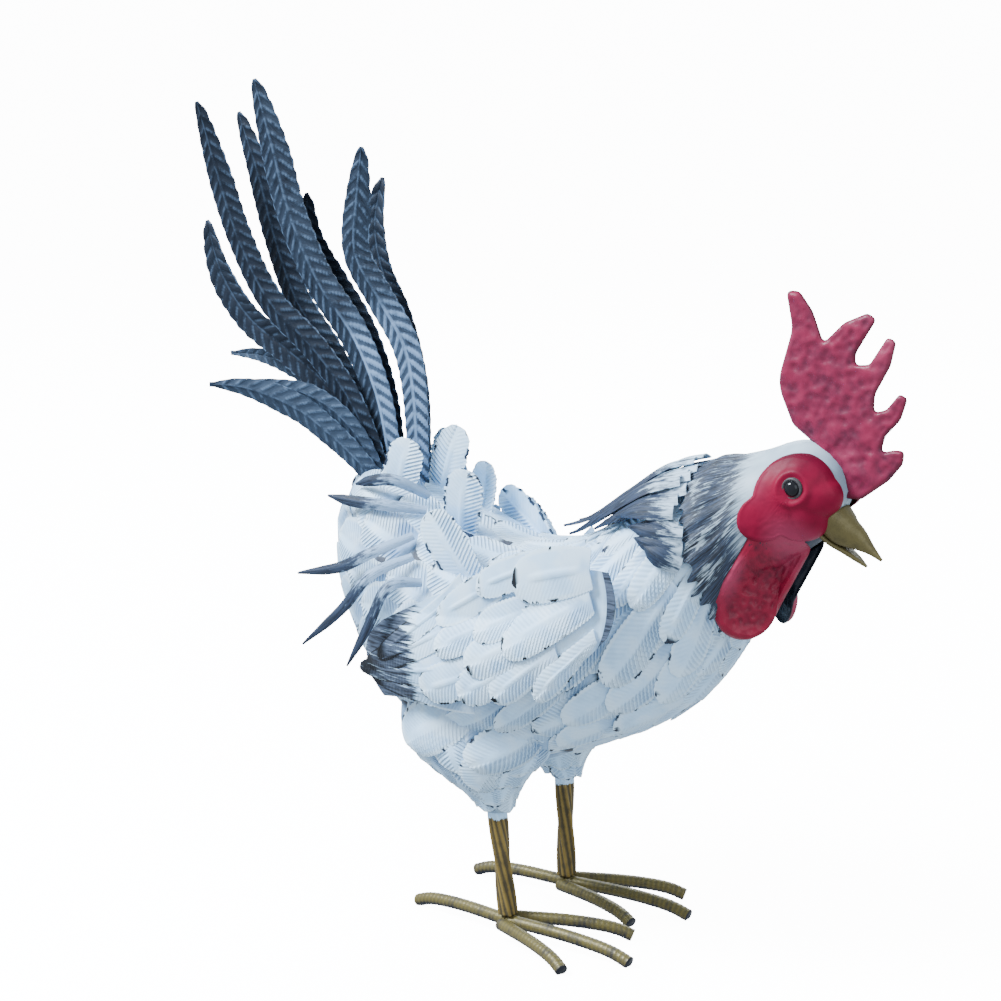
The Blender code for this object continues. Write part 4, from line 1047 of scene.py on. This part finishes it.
def saddle_strip(side, *points, welded):
    """A ribbon through three drawn points to the place and angle where it is welded on."""
    place, angle = welded
    root = body_skin(place, math.radians(angle), COAT_LIFT + GAP + SHEET * 2)
    way = np.linspace(0, 1, 60)
    spine = spline(np.vstack([np.array(points) * SHARE, root[None]]) * (1, side, 1), way)
    half = SADDLE_WIDTH / 2 * np.interp(way, [0, 0.2, 0.4, 0.6, 0.8, 1], [0.2, 0.8, 1, 1, 0.9, 0.7])
    return strip(spine, (0, side, 0.3), half, chance.uniform(0, 1))


saddle_paint = strip_paint("saddle_blue", 0.95, (0.26, 0.38, 0.54), NAVY, 0.62)
shoulder_paint = strip_paint("shoulder_streaks", 1.3, (0.44, 0.57, 0.70), NAVY, 0.63)

for name, side in SIDES.items():
    for number, row in enumerate(SADDLE, 1):
        made = saddle_strip(side, *row[:-1], welded=row[-1])
        piece = put_mesh("saddle_strip_%s_%d" % (name, number), made, saddle_paint, LONG_SHEET)
        place_piece(piece, "navy_paint", "saddle_feather_%s_%d" % (name, number))
    for number, (tip_place, tip_angle, root_angle) in enumerate(SHOULDER, 1):
        root_place = CAPE_REACH - CAPE_SLANT * math.cos(math.radians(root_angle)) - 0.004
        lift = SHOULDER_LIFT + SHOULDER_LAP * (number % 2)
        made = shoulder_strip(side, (tip_place, tip_angle), (root_place, root_angle), lift)
        piece = put_mesh("shoulder_strip_%s_%d" % (name, number), made, shoulder_paint, STRIP_SHEET)
        place_piece(piece, "navy_paint", "shoulder_feather_%s_%d" % (name, number))
    for number, row in enumerate(SHORT_STRIPS, 1):
        made = shoulder_strip(side, row[:2], row[2:], (8.6 + number % 2) * SHARE)
        piece = put_mesh("short_strip_%s_%d" % (name, number), made, shoulder_paint, STRIP_SHEET)
        place_piece(piece, "navy_paint", "torso")

# %% [markdown]
# The comb is cut from sheet, hammered on both faces and thinned at its rim. A rounded outline is filled with
# points and joined into triangles, and its thickness grows with the distance from the rim.

# %% Comb
# Corners of the outline: x, z and how far each is rounded
COMB = (
    (162.5, 403.5, 4), (171, 403.8, 5.5), (179.5, 393, 14),
    (186.5, 375.5, 2.5), (199, 388, 14), (213, 394.4, 3.5),
    (218.8, 391.5, 3), (206.5, 371, 8), (206.5, 364.5, 4), (215, 365.5, 4), (225.5, 382, 3), (231, 379.8, 3),
    (228, 366, 12), (219, 349, 10), (218.5, 338.5, 4), (226, 341, 6), (233.8, 350.8, 2.5), (238.8, 348.5, 2.5),
    (235, 336, 12), (226, 326, 6), (223.5, 316.5, 3), (231, 318.5, 5), (238, 319, 3.5), (237, 311, 6),
    (229, 301, 12), (212, 288, 8), (202, 288, 3), (190, 304, 12),
    (183, 317, 4), (168.5, 327, 10), (158, 350, 25),
    (167, 382, 20),
)


def rounded_outline(corners, steps):
    """Each corner becomes a quadratic curve that starts and ends where a circle of its radius would touch."""
    corners = np.array(corners, float) * SHARE
    here = corners[:, :2]
    back = np.roll(here, 1, axis=0) - here
    ahead = np.roll(here, -1, axis=0) - here
    far_back = np.linalg.norm(back, axis=1)
    far_ahead = np.linalg.norm(ahead, axis=1)
    half = np.arccos(np.clip((back * ahead).sum(1) / far_back / far_ahead, -1, 1)) / 2
    cut = np.minimum(corners[:, 2] / np.maximum(np.tan(half), 0.05), 0.48 * np.minimum(far_back, far_ahead))
    first = here + back / far_back[:, None] * cut[:, None]
    last = here + ahead / far_ahead[:, None] * cut[:, None]
    part = np.linspace(0, 1, steps)[None, :, None]
    curve = (1 - part) ** 2 * first[:, None] + 2 * part * (1 - part) * here[:, None] + part ** 2 * last[:, None]
    return curve.reshape(-1, 2)


def evenly(outline, spacing):
    """The closed outline read again at even distances."""
    ring = np.vstack([outline, outline[:1]])
    far = lengths(ring)
    places = np.linspace(0, far[-1], int(far[-1] / spacing) + 1)[:-1]
    return np.stack([np.interp(places, far, ring[:, k]) for k in range(2)], axis=1)


def rim_distance(points, outline):
    """Distance of each point from the nearest side of the outline."""
    start = outline[None]
    side = np.roll(outline, -1, axis=0)[None] - start
    offset = points[:, None] - start
    share = np.clip((offset * side).sum(-1) / (side ** 2).sum(-1), 0, 1)
    return np.linalg.norm(offset - side * share[..., None], axis=-1).min(axis=1)


def encloses(outline, points):
    """Whether a point lies inside: a line from it to the right crosses the outline an odd number of times."""
    start, end = outline[None], np.roll(outline, -1, axis=0)[None]
    x, z = points[:, 0, None], points[:, 1, None]
    crosses = (start[..., 1] > z) != (end[..., 1] > z)
    slope = (end[..., 0] - start[..., 0]) / (end[..., 1] - start[..., 1] + 1e-12)
    hits = crosses & (x < start[..., 0] + slope * (z - start[..., 1]))
    return hits.sum(1) % 2 == 1


def hammered(x, z, spacing, seed):
    """Dents: for each point, the nearest of scattered hammer blows gives 1 at its middle, and 0 between."""
    blows = np.random.default_rng(seed)
    low = np.array((x.min(), z.min()))
    high = np.array((x.max(), z.max()))
    count = int(np.prod((high - low) / spacing) * 1.1)
    marks = blows.uniform(low, high, (count, 2))
    near = np.hypot(x[:, None] - marks[None, :, 0], z[:, None] - marks[None, :, 1])
    return np.exp(-(near.min(axis=1) / (0.55 * spacing)) ** 2)


def comb_mesh():
    """Half thickness = 2.1 mm * (1 - exp(-distance from the rim / 1.3 mm)) - hammer blows."""
    outline = evenly(rounded_outline(COMB, 8), 1.5 * SHARE)
    low, high = outline.min(0), outline.max(0)
    step = 1.5 * SHARE
    x, z = np.meshgrid(np.arange(low[0], high[0], step), np.arange(low[1], high[1], step * 0.87), indexing="ij")
    x = x + (np.arange(x.shape[1]) % 2) * step / 2
    inside = np.stack([x.ravel(), z.ravel()], axis=1)
    inside = inside[encloses(outline, inside)]
    inside = inside[rim_distance(inside, outline) > 0.6 * step]
    flat = np.vstack([outline, inside])
    border = [(k, (k + 1) % len(outline)) for k in range(len(outline))]
    found, _, faces, *_ = delaunay_2d_cdt([tuple(p) for p in flat], border, [], 1, 1e-9)
    flat = np.array(found)
    faces = np.array(faces)
    far = rim_distance(flat, outline)
    blow = hammered(flat[:, 0], flat[:, 1], 5.4 * SHARE, 5)
    half = 0.0021 * (1 - np.exp(-far / 0.0013)) - 0.0011 * blow * soft_step(far, 0.0012, 0.0035)
    edge = far < 1e-7
    count = len(flat)
    left = np.stack([flat[:, 0], half, flat[:, 1]], axis=1)
    right = np.stack([flat[:, 0], -half, flat[:, 1]], axis=1)
    twin = np.where(edge, np.arange(count), np.arange(count) + count)
    marks = np.stack([far * 1000, blow, 0 * far], axis=1)
    corner = left[faces]
    up = np.cross(corner[:, 1] - corner[:, 0], corner[:, 2] - corner[:, 0])[:, 1]
    faces = np.where((up > 0)[:, None], faces, faces[:, ::-1])
    return np.vstack([left, right]), [faces, twin[faces][:, ::-1]], {"press": np.vstack([marks, marks])}


# pink of a painted sheen on the red parts
PINK_SHEEN = (0.34, 0.050, 0.105)
MAROON = (0.030, 0.004, 0.009)
BARE_BACK = (0.018, 0.022, 0.034)


def red_enamel(name, blow_depth, mottled, bright, dark, brow=1.0, shine=0.24):
    """Red over maroon: the hammer's hollows, the rim and whatever lies above the brow's height stay darker, and
    broad pink patches are a painted sheen.
    """
    paint = Finish(name, specular_ior_level=shine)
    far_mm, blow, back = paint.mark("press")
    spot = paint.places()
    cloud = paint.noise(spot, 0.010, 3, 0.6)
    grit = paint.noise(spot, 0.0016, 2)
    dents = paint.cells(spot, 0.0055)
    broad = paint.noise(spot, 0.045, 1)
    height = paint.parts(spot)[2]
    deep = (blow * 0.35 + cloud.over(0.40, 0.75) * 0.45) * mottled + height.over(brow, brow + 0.020) * 0.75
    body = paint.mix(deep.at_most(1.0), bright, dark)
    # painted sheen: broad random patches mixed towards pink
    body = paint.mix(broad.over(0.50, 0.72) * 0.6, body, PINK_SHEEN)
    body = paint.mix(far_mm.over(0.9, 0.2) * 0.6, body, MAROON)
    paint.feed("Base Color", paint.mix(back.at_most(1.0), body, BARE_BACK))
    paint.feed("Roughness", 0.33 + grit * 0.12 + deep * 0.10)
    paint.bumped(dents * 0.85 + grit * 0.06, blow_depth)
    return paint.material


comb_red = red_enamel("comb_red", 0.0009, 1.3, (0.205, 0.0140, 0.046), (0.070, 0.0090, 0.026))
place_piece(put_mesh("comb_plate", comb_mesh(), comb_red), "red_paint", "comb")

# %% [markdown]
# The face shield is a smooth red dome round the eye, raised in a ring where the eye is set. The wattles are
# dished plates with a rolled rim and a hammered middle, which bend outwards to lie beside the neck.

# %% Face shields, eyes and wattles
# Circles whose joint outline is the shield: x, z and radius
SHIELD = ((181, 292, 22), (165, 277, 13.5), (195, 291, 11.5), (185, 277, 13))
SHIELD_CENTRE = (180, 290)
SHIELD_REST = 10 * SHARE            # least distance of a shield from the mid-plane
SHIELD_STEP = 1.6 * SHARE
THICK = 0.0020                      # sheet of the shields and wattles
# Circles at the top and bottom of a wattle: x from its bend, z and radius
WATTLE = ((3, 261, 16), (-20.5, 222, 18.6))
WATTLE_BEND = 167 * SHARE           # x of the line that it is bent along
WATTLE_FLARE = math.radians(43)
WATTLE_REST = 9 * SHARE             # least distance of a wattle from the mid-plane


def shield_crown():
    """How far a shield stands from the mid-plane at the eye."""
    eye_x, eye_z = np.array(EYE_AT) * SHARE
    return float(body_half_width(eye_x, eye_z)) + GAP + THICK + SHIELD_STEP


def shield_mesh(side):
    """Rings of the circles' joint outline, on a dome crown * sqrt(1 - share^2), raised in a ring by the eye."""
    count = 120
    shares = np.concatenate([np.linspace(0.0, 0.9, 26), np.linspace(0.92, 1.0, 7)])
    angles = np.arange(count) / count * TURN
    way = np.stack([np.cos(angles), np.sin(angles)], axis=1)
    circles = np.array(SHIELD)
    to_circle = circles[:, :2] - np.array(SHIELD_CENTRE)
    near = way @ to_circle.T
    inside = near ** 2 - (to_circle ** 2).sum(1) + circles[:, 2] ** 2
    reach = np.where(inside > 0, near + np.sqrt(np.clip(inside, 0, None)), 0).max(axis=1)
    reach = (reach + np.roll(reach, 1) + np.roll(reach, -1)) / 3
    flat = (np.array(SHIELD_CENTRE) + way * (reach * shares[:, None])[..., None]) * SHARE
    x, z = flat[..., 0], flat[..., 1]
    eye_x, eye_z = np.array(EYE_AT) * SHARE
    floor = SHIELD_REST + SHIELD_STEP
    dome = floor + (shield_crown() - floor) * np.sqrt(np.clip(1.06 - shares ** 2, 0, None))[:, None]
    depth = np.maximum(dome, body_half_width(x, z) + GAP + SHIELD_STEP + 0.0012)
    from_eye = np.hypot(x - eye_x, z - eye_z) / SHARE
    depth = depth + 0.0013 * np.exp(-((from_eye - 9.2) / 2.0) ** 2) - 0.0010 * np.exp(-(from_eye / 5.0) ** 2)
    roll = 0.0003 * np.exp(-((shares - 0.93) / 0.035) ** 2)[:, None]
    depth = depth + roll - 0.0005 * soft_step(shares, 0.96, 1.0)[:, None]
    skin = np.stack([x, side * depth, z], axis=-1)
    wall = np.stack([x[-1], side * (depth[-1] - 0.004), z[-1]], axis=-1)[None]
    points = np.concatenate([skin, wall])
    rim_mm = np.concatenate([(1 - shares) * 22, [0]])[:, None] + 0 * angles
    quads = turned(grid_quads(len(shares) + 1, count, closed=True), side > 0)
    return points, quads, {"press": together(rim_mm + 1.0, 0.0, 0.0)}


def eye_mesh(side):
    """A bead set in a thin ring: a circle's profile turned about the eye's axis."""
    bead = [(4.6 * math.sin(a), 3.6 * math.cos(a) * 0.9 + 0.36) for a in np.linspace(0.15, 1.45, 12)]
    ring = [(4.9, 0.9), (5.3, 1.3), (5.9, 1.2), (6.3, 0.6), (6.4, -0.8)]
    radius, height = (np.array([(0.0, 3.6), *bead, *ring]) * SHARE).T[:, :, None]
    angles = np.arange(48) / 48 * TURN
    x = EYE_AT[0] * SHARE + radius * np.cos(angles)
    z = EYE_AT[1] * SHARE + radius * np.sin(angles)
    y = side * (shield_crown() + height - 0.0010 + 0 * angles)
    quads = turned(grid_quads(*x.shape, closed=True), side > 0)
    return together(x, y, z), quads, {"bead": together(radius / SHARE + 0 * x, 0.0, 0.0)}


def eye_glass():
    """Black glass with a dark iron ring round it: the ring starts at its own radius."""
    paint = Finish("eye_black", specular_ior_level=0.25)
    ring = paint.mark("bead")[0].over(4.5, 4.8)
    iron = paint.mix(paint.noise(paint.places(), 0.0012, 2), (0.020, 0.020, 0.023), (0.075, 0.070, 0.072))
    paint.feed("Base Color", paint.mix(ring, (0.006, 0.006, 0.008), iron))
    paint.feed("Roughness", 0.05 + ring * 0.35)
    return paint.material


def wattle_mesh(side):
    """A tapered outline round two circles, dished: a rolled rim, a hollow inside it and hammer blows in it."""
    (x0, z0, r0), (x1, z1, r1) = WATTLE
    axis = np.array((x1 - x0, z1 - z0))
    length = np.linalg.norm(axis)
    axis = axis / length
    normal = np.array((-axis[1], axis[0]))
    lean = math.asin((r1 - r0) / length)
    wide = np.linspace(-math.pi / 2 - lean, math.pi / 2 + lean, 60)
    narrow = np.linspace(math.pi / 2 + lean, 3 * math.pi / 2 - lean, 50)
    bottom = np.array((x1, z1)) + r1 * (np.cos(wide)[:, None] * axis + np.sin(wide)[:, None] * normal)
    top = np.array((x0, z0)) + r0 * (np.cos(narrow)[:, None] * axis + np.sin(narrow)[:, None] * normal)
    outline = evenly(np.vstack([bottom, top]) * SHARE, 1.4 * SHARE)
    middle = (np.array((x0, z0)) * 0.25 + np.array((x1, z1)) * 0.75) * SHARE
    shares = np.concatenate([np.linspace(0.0, 0.8, 22), np.linspace(0.83, 1.0, 9)])
    flat = middle + (outline - middle) * shares[:, None, None]
    dome = np.interp(shares, [0, 0.5, 0.72, 0.80, 0.88, 0.95, 1.0], [2.6, 3.0, 3.1, 3.3, 4.1, 3.2, 0.4])
    dome = dome[:, None] * SHARE
    blow = hammered(flat[..., 0].ravel(), flat[..., 1].ravel(), 3.6 * SHARE, 9).reshape(flat.shape[:2])
    outer = dome - 0.0012 * blow * (1 - soft_step(shares, 0.66, 0.80))[:, None]
    inner = dome * 0.9 - THICK + 0 * blow
    inner[-1] = outer[-1]

    def bent(ring, depth):
        ahead = np.clip(ring[..., 0], 0, None)
        behind = np.clip(ring[..., 0], None, 0)
        flare = WATTLE_FLARE * soft_step(-ring[..., 0], -0.002, 0.004)
        x = WATTLE_BEND + ahead + behind * math.cos(WATTLE_FLARE) + depth * np.sin(flare)
        cheek = body_half_width(x, ring[..., 1], 1.2 * SHARE) + 2 * GAP
        flat_top = 1 - 0.85 * soft_step(ring[..., 1], 250 * SHARE, 262 * SHARE)
        y = np.maximum(WATTLE_REST - behind * math.sin(WATTLE_FLARE), cheek) + depth * np.cos(flare) * flat_top
        return together(x, side * y, ring[..., 1])

    skins = np.concatenate([bent(flat, outer), bent(flat[::-1], inner[::-1])])
    far = (1 - shares)[:, None] * 16
    press = together(far + 0.6, blow * (1 - soft_step(shares, 0.66, 0.8))[:, None], 0.0)
    marks = np.concatenate([press, together(0.0, 0.0, 0 * blow + 1)])
    return skins, turned(grid_quads(*skins.shape[:2], closed=True), side > 0), {"press": marks}


shield_red = red_enamel("shield_red", 0.0002, 0.7, (0.185, 0.0050, 0.026), (0.050, 0.0030, 0.012), 0.298, 0.08)
wattle_red = red_enamel("wattle_red", 0.0014, 1.1, (0.235, 0.0042, 0.028), (0.055, 0.0035, 0.015))
glass = eye_glass()
for name, side in SIDES.items():
    place_piece(put_mesh("shield_" + name, shield_mesh(side), shield_red), "red_paint", "face_shield_" + name)
    place_piece(put_mesh("eye_bead_" + name, eye_mesh(side), glass), "black_glass", "eye_" + name)
    place_piece(put_mesh("wattle_plate_" + name, wattle_mesh(side), wattle_red), "red_paint", "wattle_" + name)

# %% [markdown]
# The beak is two curved cones that narrow to a hooked tip, painted in an old gold. The legs are square bar,
# twisted once, and the toes are ribbed rod, both in the same gold over dark iron.

# %% Beak
# Ovals from the root to the tip: x, z, half height and half width
BEAK_UPPER = ((195, 276.6, 10.8, 14), (202, 269.2, 10.6, 10), (210.4, 264.8, 7.7, 6.5), (219, 259.6, 3.1, 3.4),
              (225.8, 254.6, 0.9, 1.0))
BEAK_LOWER = ((189, 269.5, 2.6, 12), (196, 262.8, 2.6, 8.5), (204, 258.2, 2.4, 5.5), (211, 254, 2.0, 3.2),
              (216.8, 250, 0.8, 1.0))


def beak_mesh(points, flat_side):
    """Ovals across a drawn middle line, cut flat on the side where the two halves meet."""
    row = spline(np.array(points) * SHARE, np.linspace(0, 1, 40))
    run = unit(np.gradient(row[:, :2], axis=0))
    up = np.stack([-run[:, 1], run[:, 0]], axis=1)
    angles = np.arange(40) / 40 * TURN
    rise = np.maximum(np.sin(angles) * flat_side, -0.6) * flat_side
    height = rise[None, :] * row[:, 2, None]
    points = capped(together(row[:, 0, None] + up[:, 0, None] * height, np.cos(angles) * row[:, 3, None],
                             row[:, 1, None] + up[:, 1, None] * height))
    marks = together(np.linspace(0, 1, len(points))[:, None], 0 * angles, 0.0)
    return points, grid_quads(*points.shape[:2], closed=True), {"rod": marks}


def old_gold(name, light, dark, ridged, dripped=0.0):
    """Gold rubbed over dark iron: bright where the metal stands proud, and brown and blue-grey as painted shade
    in the hollows and on the toes' undersides, with random dirt.

    Dripped is how far white paint has run down from the top, as a share of the length.
    """
    paint = Finish(name, metallic=0.25, specular_ior_level=0.3)
    share, hollow, end = paint.mark("rod")
    spot = paint.places()
    cloud = paint.noise(spot, 0.009, 4, 0.6)
    grit = paint.noise(spot, 0.0010, 3)
    # random dirt in clouds and grit, and painted shade in the hollows and on the toes' undersides
    dirt_and_hollow_shade = (hollow * ridged + cloud.over(0.45, 0.75) * 0.55 + grit.over(0.55, 0.8) * 0.3).at_most(1.0)
    body = paint.mix(dirt_and_hollow_shade, light, dark)
    body = paint.mix(end.at_most(1.0), body, (0.014, 0.016, 0.024))
    runs = (share + cloud * 0.12 - grit * 0.06).over(1.03 - dripped, 1.05 - dripped)
    paint.feed("Base Color", paint.mix(runs, body, WHITE) if dripped else body)
    paint.feed("Roughness", 0.36 + dirt_and_hollow_shade * 0.25)
    paint.bumped(grit * 0.6 + cloud * 0.4, 0.0003)
    return paint.material


beak_gold = old_gold("beak_gold", (0.120, 0.096, 0.034), (0.050, 0.041, 0.018), 0.5)
leg_gold = old_gold("leg_gold", (0.230, 0.155, 0.036), (0.055, 0.042, 0.020), 1.0, 0.08)
# the toes' dark is bluish, the painted shade of their undersides
toe_gold = old_gold("toe_gold", (0.140, 0.112, 0.032), (0.012, 0.014, 0.026), 1.0)
for name, ovals, flat_side in (("upper", BEAK_UPPER, 1), ("lower", BEAK_LOWER, -1)):
    piece = put_mesh("beak_half_" + name, beak_mesh(ovals, flat_side), beak_gold)
    place_piece(piece, "old_gold", "beak_" + name)

# %% [markdown]
# Each leg is one square bar that was twisted cold, and each foot is four ribbed rods, bent down and cut off
# level.

# %% Legs and toes
LEG_BAR = 0.0088                    # side of the square bar
LEG_TURN = math.radians(-110)       # how far it is twisted
LEG_ROWS, LEG_COLUMNS = 90, 64
TOE_ROD = 0.0080                    # diameter of the ribbed rod
TOE_FLAT = 0.0008                   # worn off a toe's end where it stands
TOE_ROWS, TOE_COLUMNS = 120, 24
RIB_PITCH = 0.0032                  # of the ribs on the rod
STANCE = 80 * SHARE                 # from foot to foot
STRIDE = 6 * SHARE                  # how far the right foot stands ahead
ANKLE_HEIGHT = 9.6 * SHARE
# Reach, heading in degrees, and on which side of the middle toe it is welded
TOES = {
    "right": {"back": (78, 167.7, 0), "middle": (89.3, -5.0, 0),
              "inner": (73.1, 19.8, 1), "outer": (69, -26.8, -1)},
    "left": {"back": (69.7, 176.3, 0), "middle": (86.9, 0.9, 0),
             "inner": (66.8, -18.3, -1), "outer": (71.8, 20.6, 1)},
}
# Share of the reach, and height as a share of the ankle's
TOE_LINE = ((0.0, 1.0), (0.42, 1.0), (0.70, 0.87), (0.87, 0.66))
TOE_DROOP = math.radians(25)


def leg_ends(side):
    """Foot and top of one leg's axis."""
    foot = np.array((-side * STRIDE / 2, side * STANCE / 2, ANKLE_HEIGHT + TOE_ROD / 2 + GAP))
    x, y, z = np.array(THIGH[-1][:3]) * SHARE
    return foot, np.array((x, side * y, z - GAP))


def leg_mesh(side):
    """A square with rounded corners and grooves, turned as it climbs: half side / max(|cos|, |sin|), soft."""
    foot, top = leg_ends(side)
    share = np.linspace(0, 1, LEG_ROWS)
    round_it = np.arange(LEG_COLUMNS) / LEG_COLUMNS * TURN
    square = (np.abs(np.cos(round_it)) ** 7 + np.abs(np.sin(round_it)) ** 7) ** (-1 / 7)
    angle = round_it[None, :] + LEG_TURN * share[:, None]
    groove = 0.5 + 0.5 * np.cos(8 * round_it)
    radius = LEG_BAR / 2 * square * (1.10 - 0.13 * (1 - groove))
    centre = foot + (top - foot) * share[:, None]
    points = capped(centre[:, None] + together(radius * np.cos(angle), radius * np.sin(angle), 0.0))
    # the grooves are marked to be painted darker, as shade
    marks = repeated_ends(together(share[:, None], 1 - groove, 0.0))
    return points, grid_quads(*points.shape[:2], closed=True), {"rod": marks}


def toe_mesh(side, reach, heading, beside):
    """A ribbed rod along a drooping line: radius * (1 - rib + rib * wave(along + twist * angle))."""
    foot, _ = leg_ends(side)
    heading = math.radians(heading)
    radius = TOE_ROD / 2
    out = np.array((math.cos(heading), math.sin(heading), 0.0))
    aside = np.array((-out[1], out[0], 0.0))
    origin = np.array((foot[0], foot[1] + beside * (TOE_ROD + GAP), 0.0)) + out * GAP * (0 if beside else 1.5)
    profile = [(share * reach * SHARE, rise * ANKLE_HEIGHT) for share, rise in TOE_LINE]
    profile.append((reach * SHARE, radius * math.cos(TOE_DROOP) - TOE_FLAT))
    share = np.linspace(0, 1, TOE_ROWS)
    line = spline(profile, share)
    run = unit(np.gradient(line, axis=0))
    angles = np.arange(TOE_COLUMNS) / TOE_COLUMNS * TURN
    ridge = (0.5 + 0.5 * np.sin(TURN * lengths(line)[:, None] / RIB_PITCH + np.sin(angles) * 1.2)) ** 2
    seam = np.exp(-((np.abs(np.cos(angles)) - 1) / 0.03) ** 2)
    size = radius * (0.955 + 0.045 * np.maximum(ridge, seam))
    upright = np.array((0, 0, 1))
    centre = origin + out * line[:, 0, None] + upright * line[:, 1, None]
    up = out * -run[:, 1, None] + upright * run[:, 0, None]
    points = (centre[:, None] + (size * np.cos(angles))[..., None] * aside
              + (size * np.sin(angles))[..., None] * up[:, None])
    points[..., 2] = np.maximum(points[..., 2], 0)
    points = capped(points)
    under = soft_step(-np.sin(angles), 0.0, 0.9)
    cut = soft_step(share, 0.985, 1.0)[:, None]
    # between the ribs and on the underside the toe is marked to be painted darker, as shade
    marks = repeated_ends(together(share[:, None], (1 - ridge) * 0.30 + under * 1.1, cut))
    return points, grid_quads(*points.shape[:2], closed=True)[:, ::-1], {"rod": marks}


for name, side in SIDES.items():
    place_piece(put_mesh("leg_bar_" + name, leg_mesh(side), leg_gold), "old_gold", "leg_" + name)
    for toe, route in TOES[name].items():
        piece = put_mesh("toe_rod_%s_%s" % (name, toe), toe_mesh(side, *route), toe_gold)
        place_piece(piece, "old_gold", "toe_%s_%s" % (name, toe))

# %% [markdown]
# The studio is one wide white floor, lit so brightly that it burns out, as a product photographer does it. The
# floor's own light is kept off the bird. That comes from a bright room, from a large lamp high on the camera's
# left, and from two weaker ones, all a little blue.

# %% Floor and light
FLOOR_REACH = 60.0                  # radius in metres, past the edge of the picture
FLOOR_GLOW = 13.0
ROOM = (0.86, 0.95, 1.04)

floor_points = np.array([(math.cos(a) * r, math.sin(a) * r, 0)
                         for r in (0.0001, FLOOR_REACH) for a in np.arange(64) / 64 * TURN])
studio = Finish("studio_floor", roughness=0.9, specular_ior_level=0.0, emission_strength=FLOOR_GLOW)
haze = studio.noise(studio.places(), 2.0, 2)
studio.feed("Emission Color", studio.mix(haze, (1.0, 1.0, 1.0), (0.98, 0.99, 1.0)))
floor_quads = grid_quads(2, 64, closed=True)[:, ::-1]
floor = put_mesh("floor", (floor_points, floor_quads, {}), studio.material)
floor.visible_diffuse = False
floor.visible_glossy = False

world = bpy.data.worlds.new("room")
world.use_nodes = True
world.node_tree.nodes["Background"].inputs["Color"].default_value = (*ROOM, 1.0)
world.node_tree.nodes["Background"].inputs["Strength"].default_value = 1.0
bpy.context.scene.world = world


def soft_lamp(name, place, aim, size, power):
    """A square lamp at a place, turned towards the aim."""
    data = bpy.data.lights.new(name, "AREA")
    data.size = size
    data.energy = power
    data.color = ROOM
    lamp = bpy.data.objects.new(name, data)
    way = np.array(aim, float) - np.array(place, float)
    lamp.location = place
    lamp.rotation_euler = (math.atan2(math.hypot(way[0], way[1]), -way[2]), 0, math.atan2(-way[0], way[1]))
    bpy.context.scene.collection.objects.link(lamp)


soft_lamp("key", (-1.1, -1.1, 2.0), (0, 0, 0.25), 0.9, 190)
soft_lamp("fill", (1.9, -0.9, 1.2), (0, 0, 0.25), 1.6, 20)
soft_lamp("back", (-0.6, 1.8, 1.6), (0, 0, 0.3), 1.6, 50)
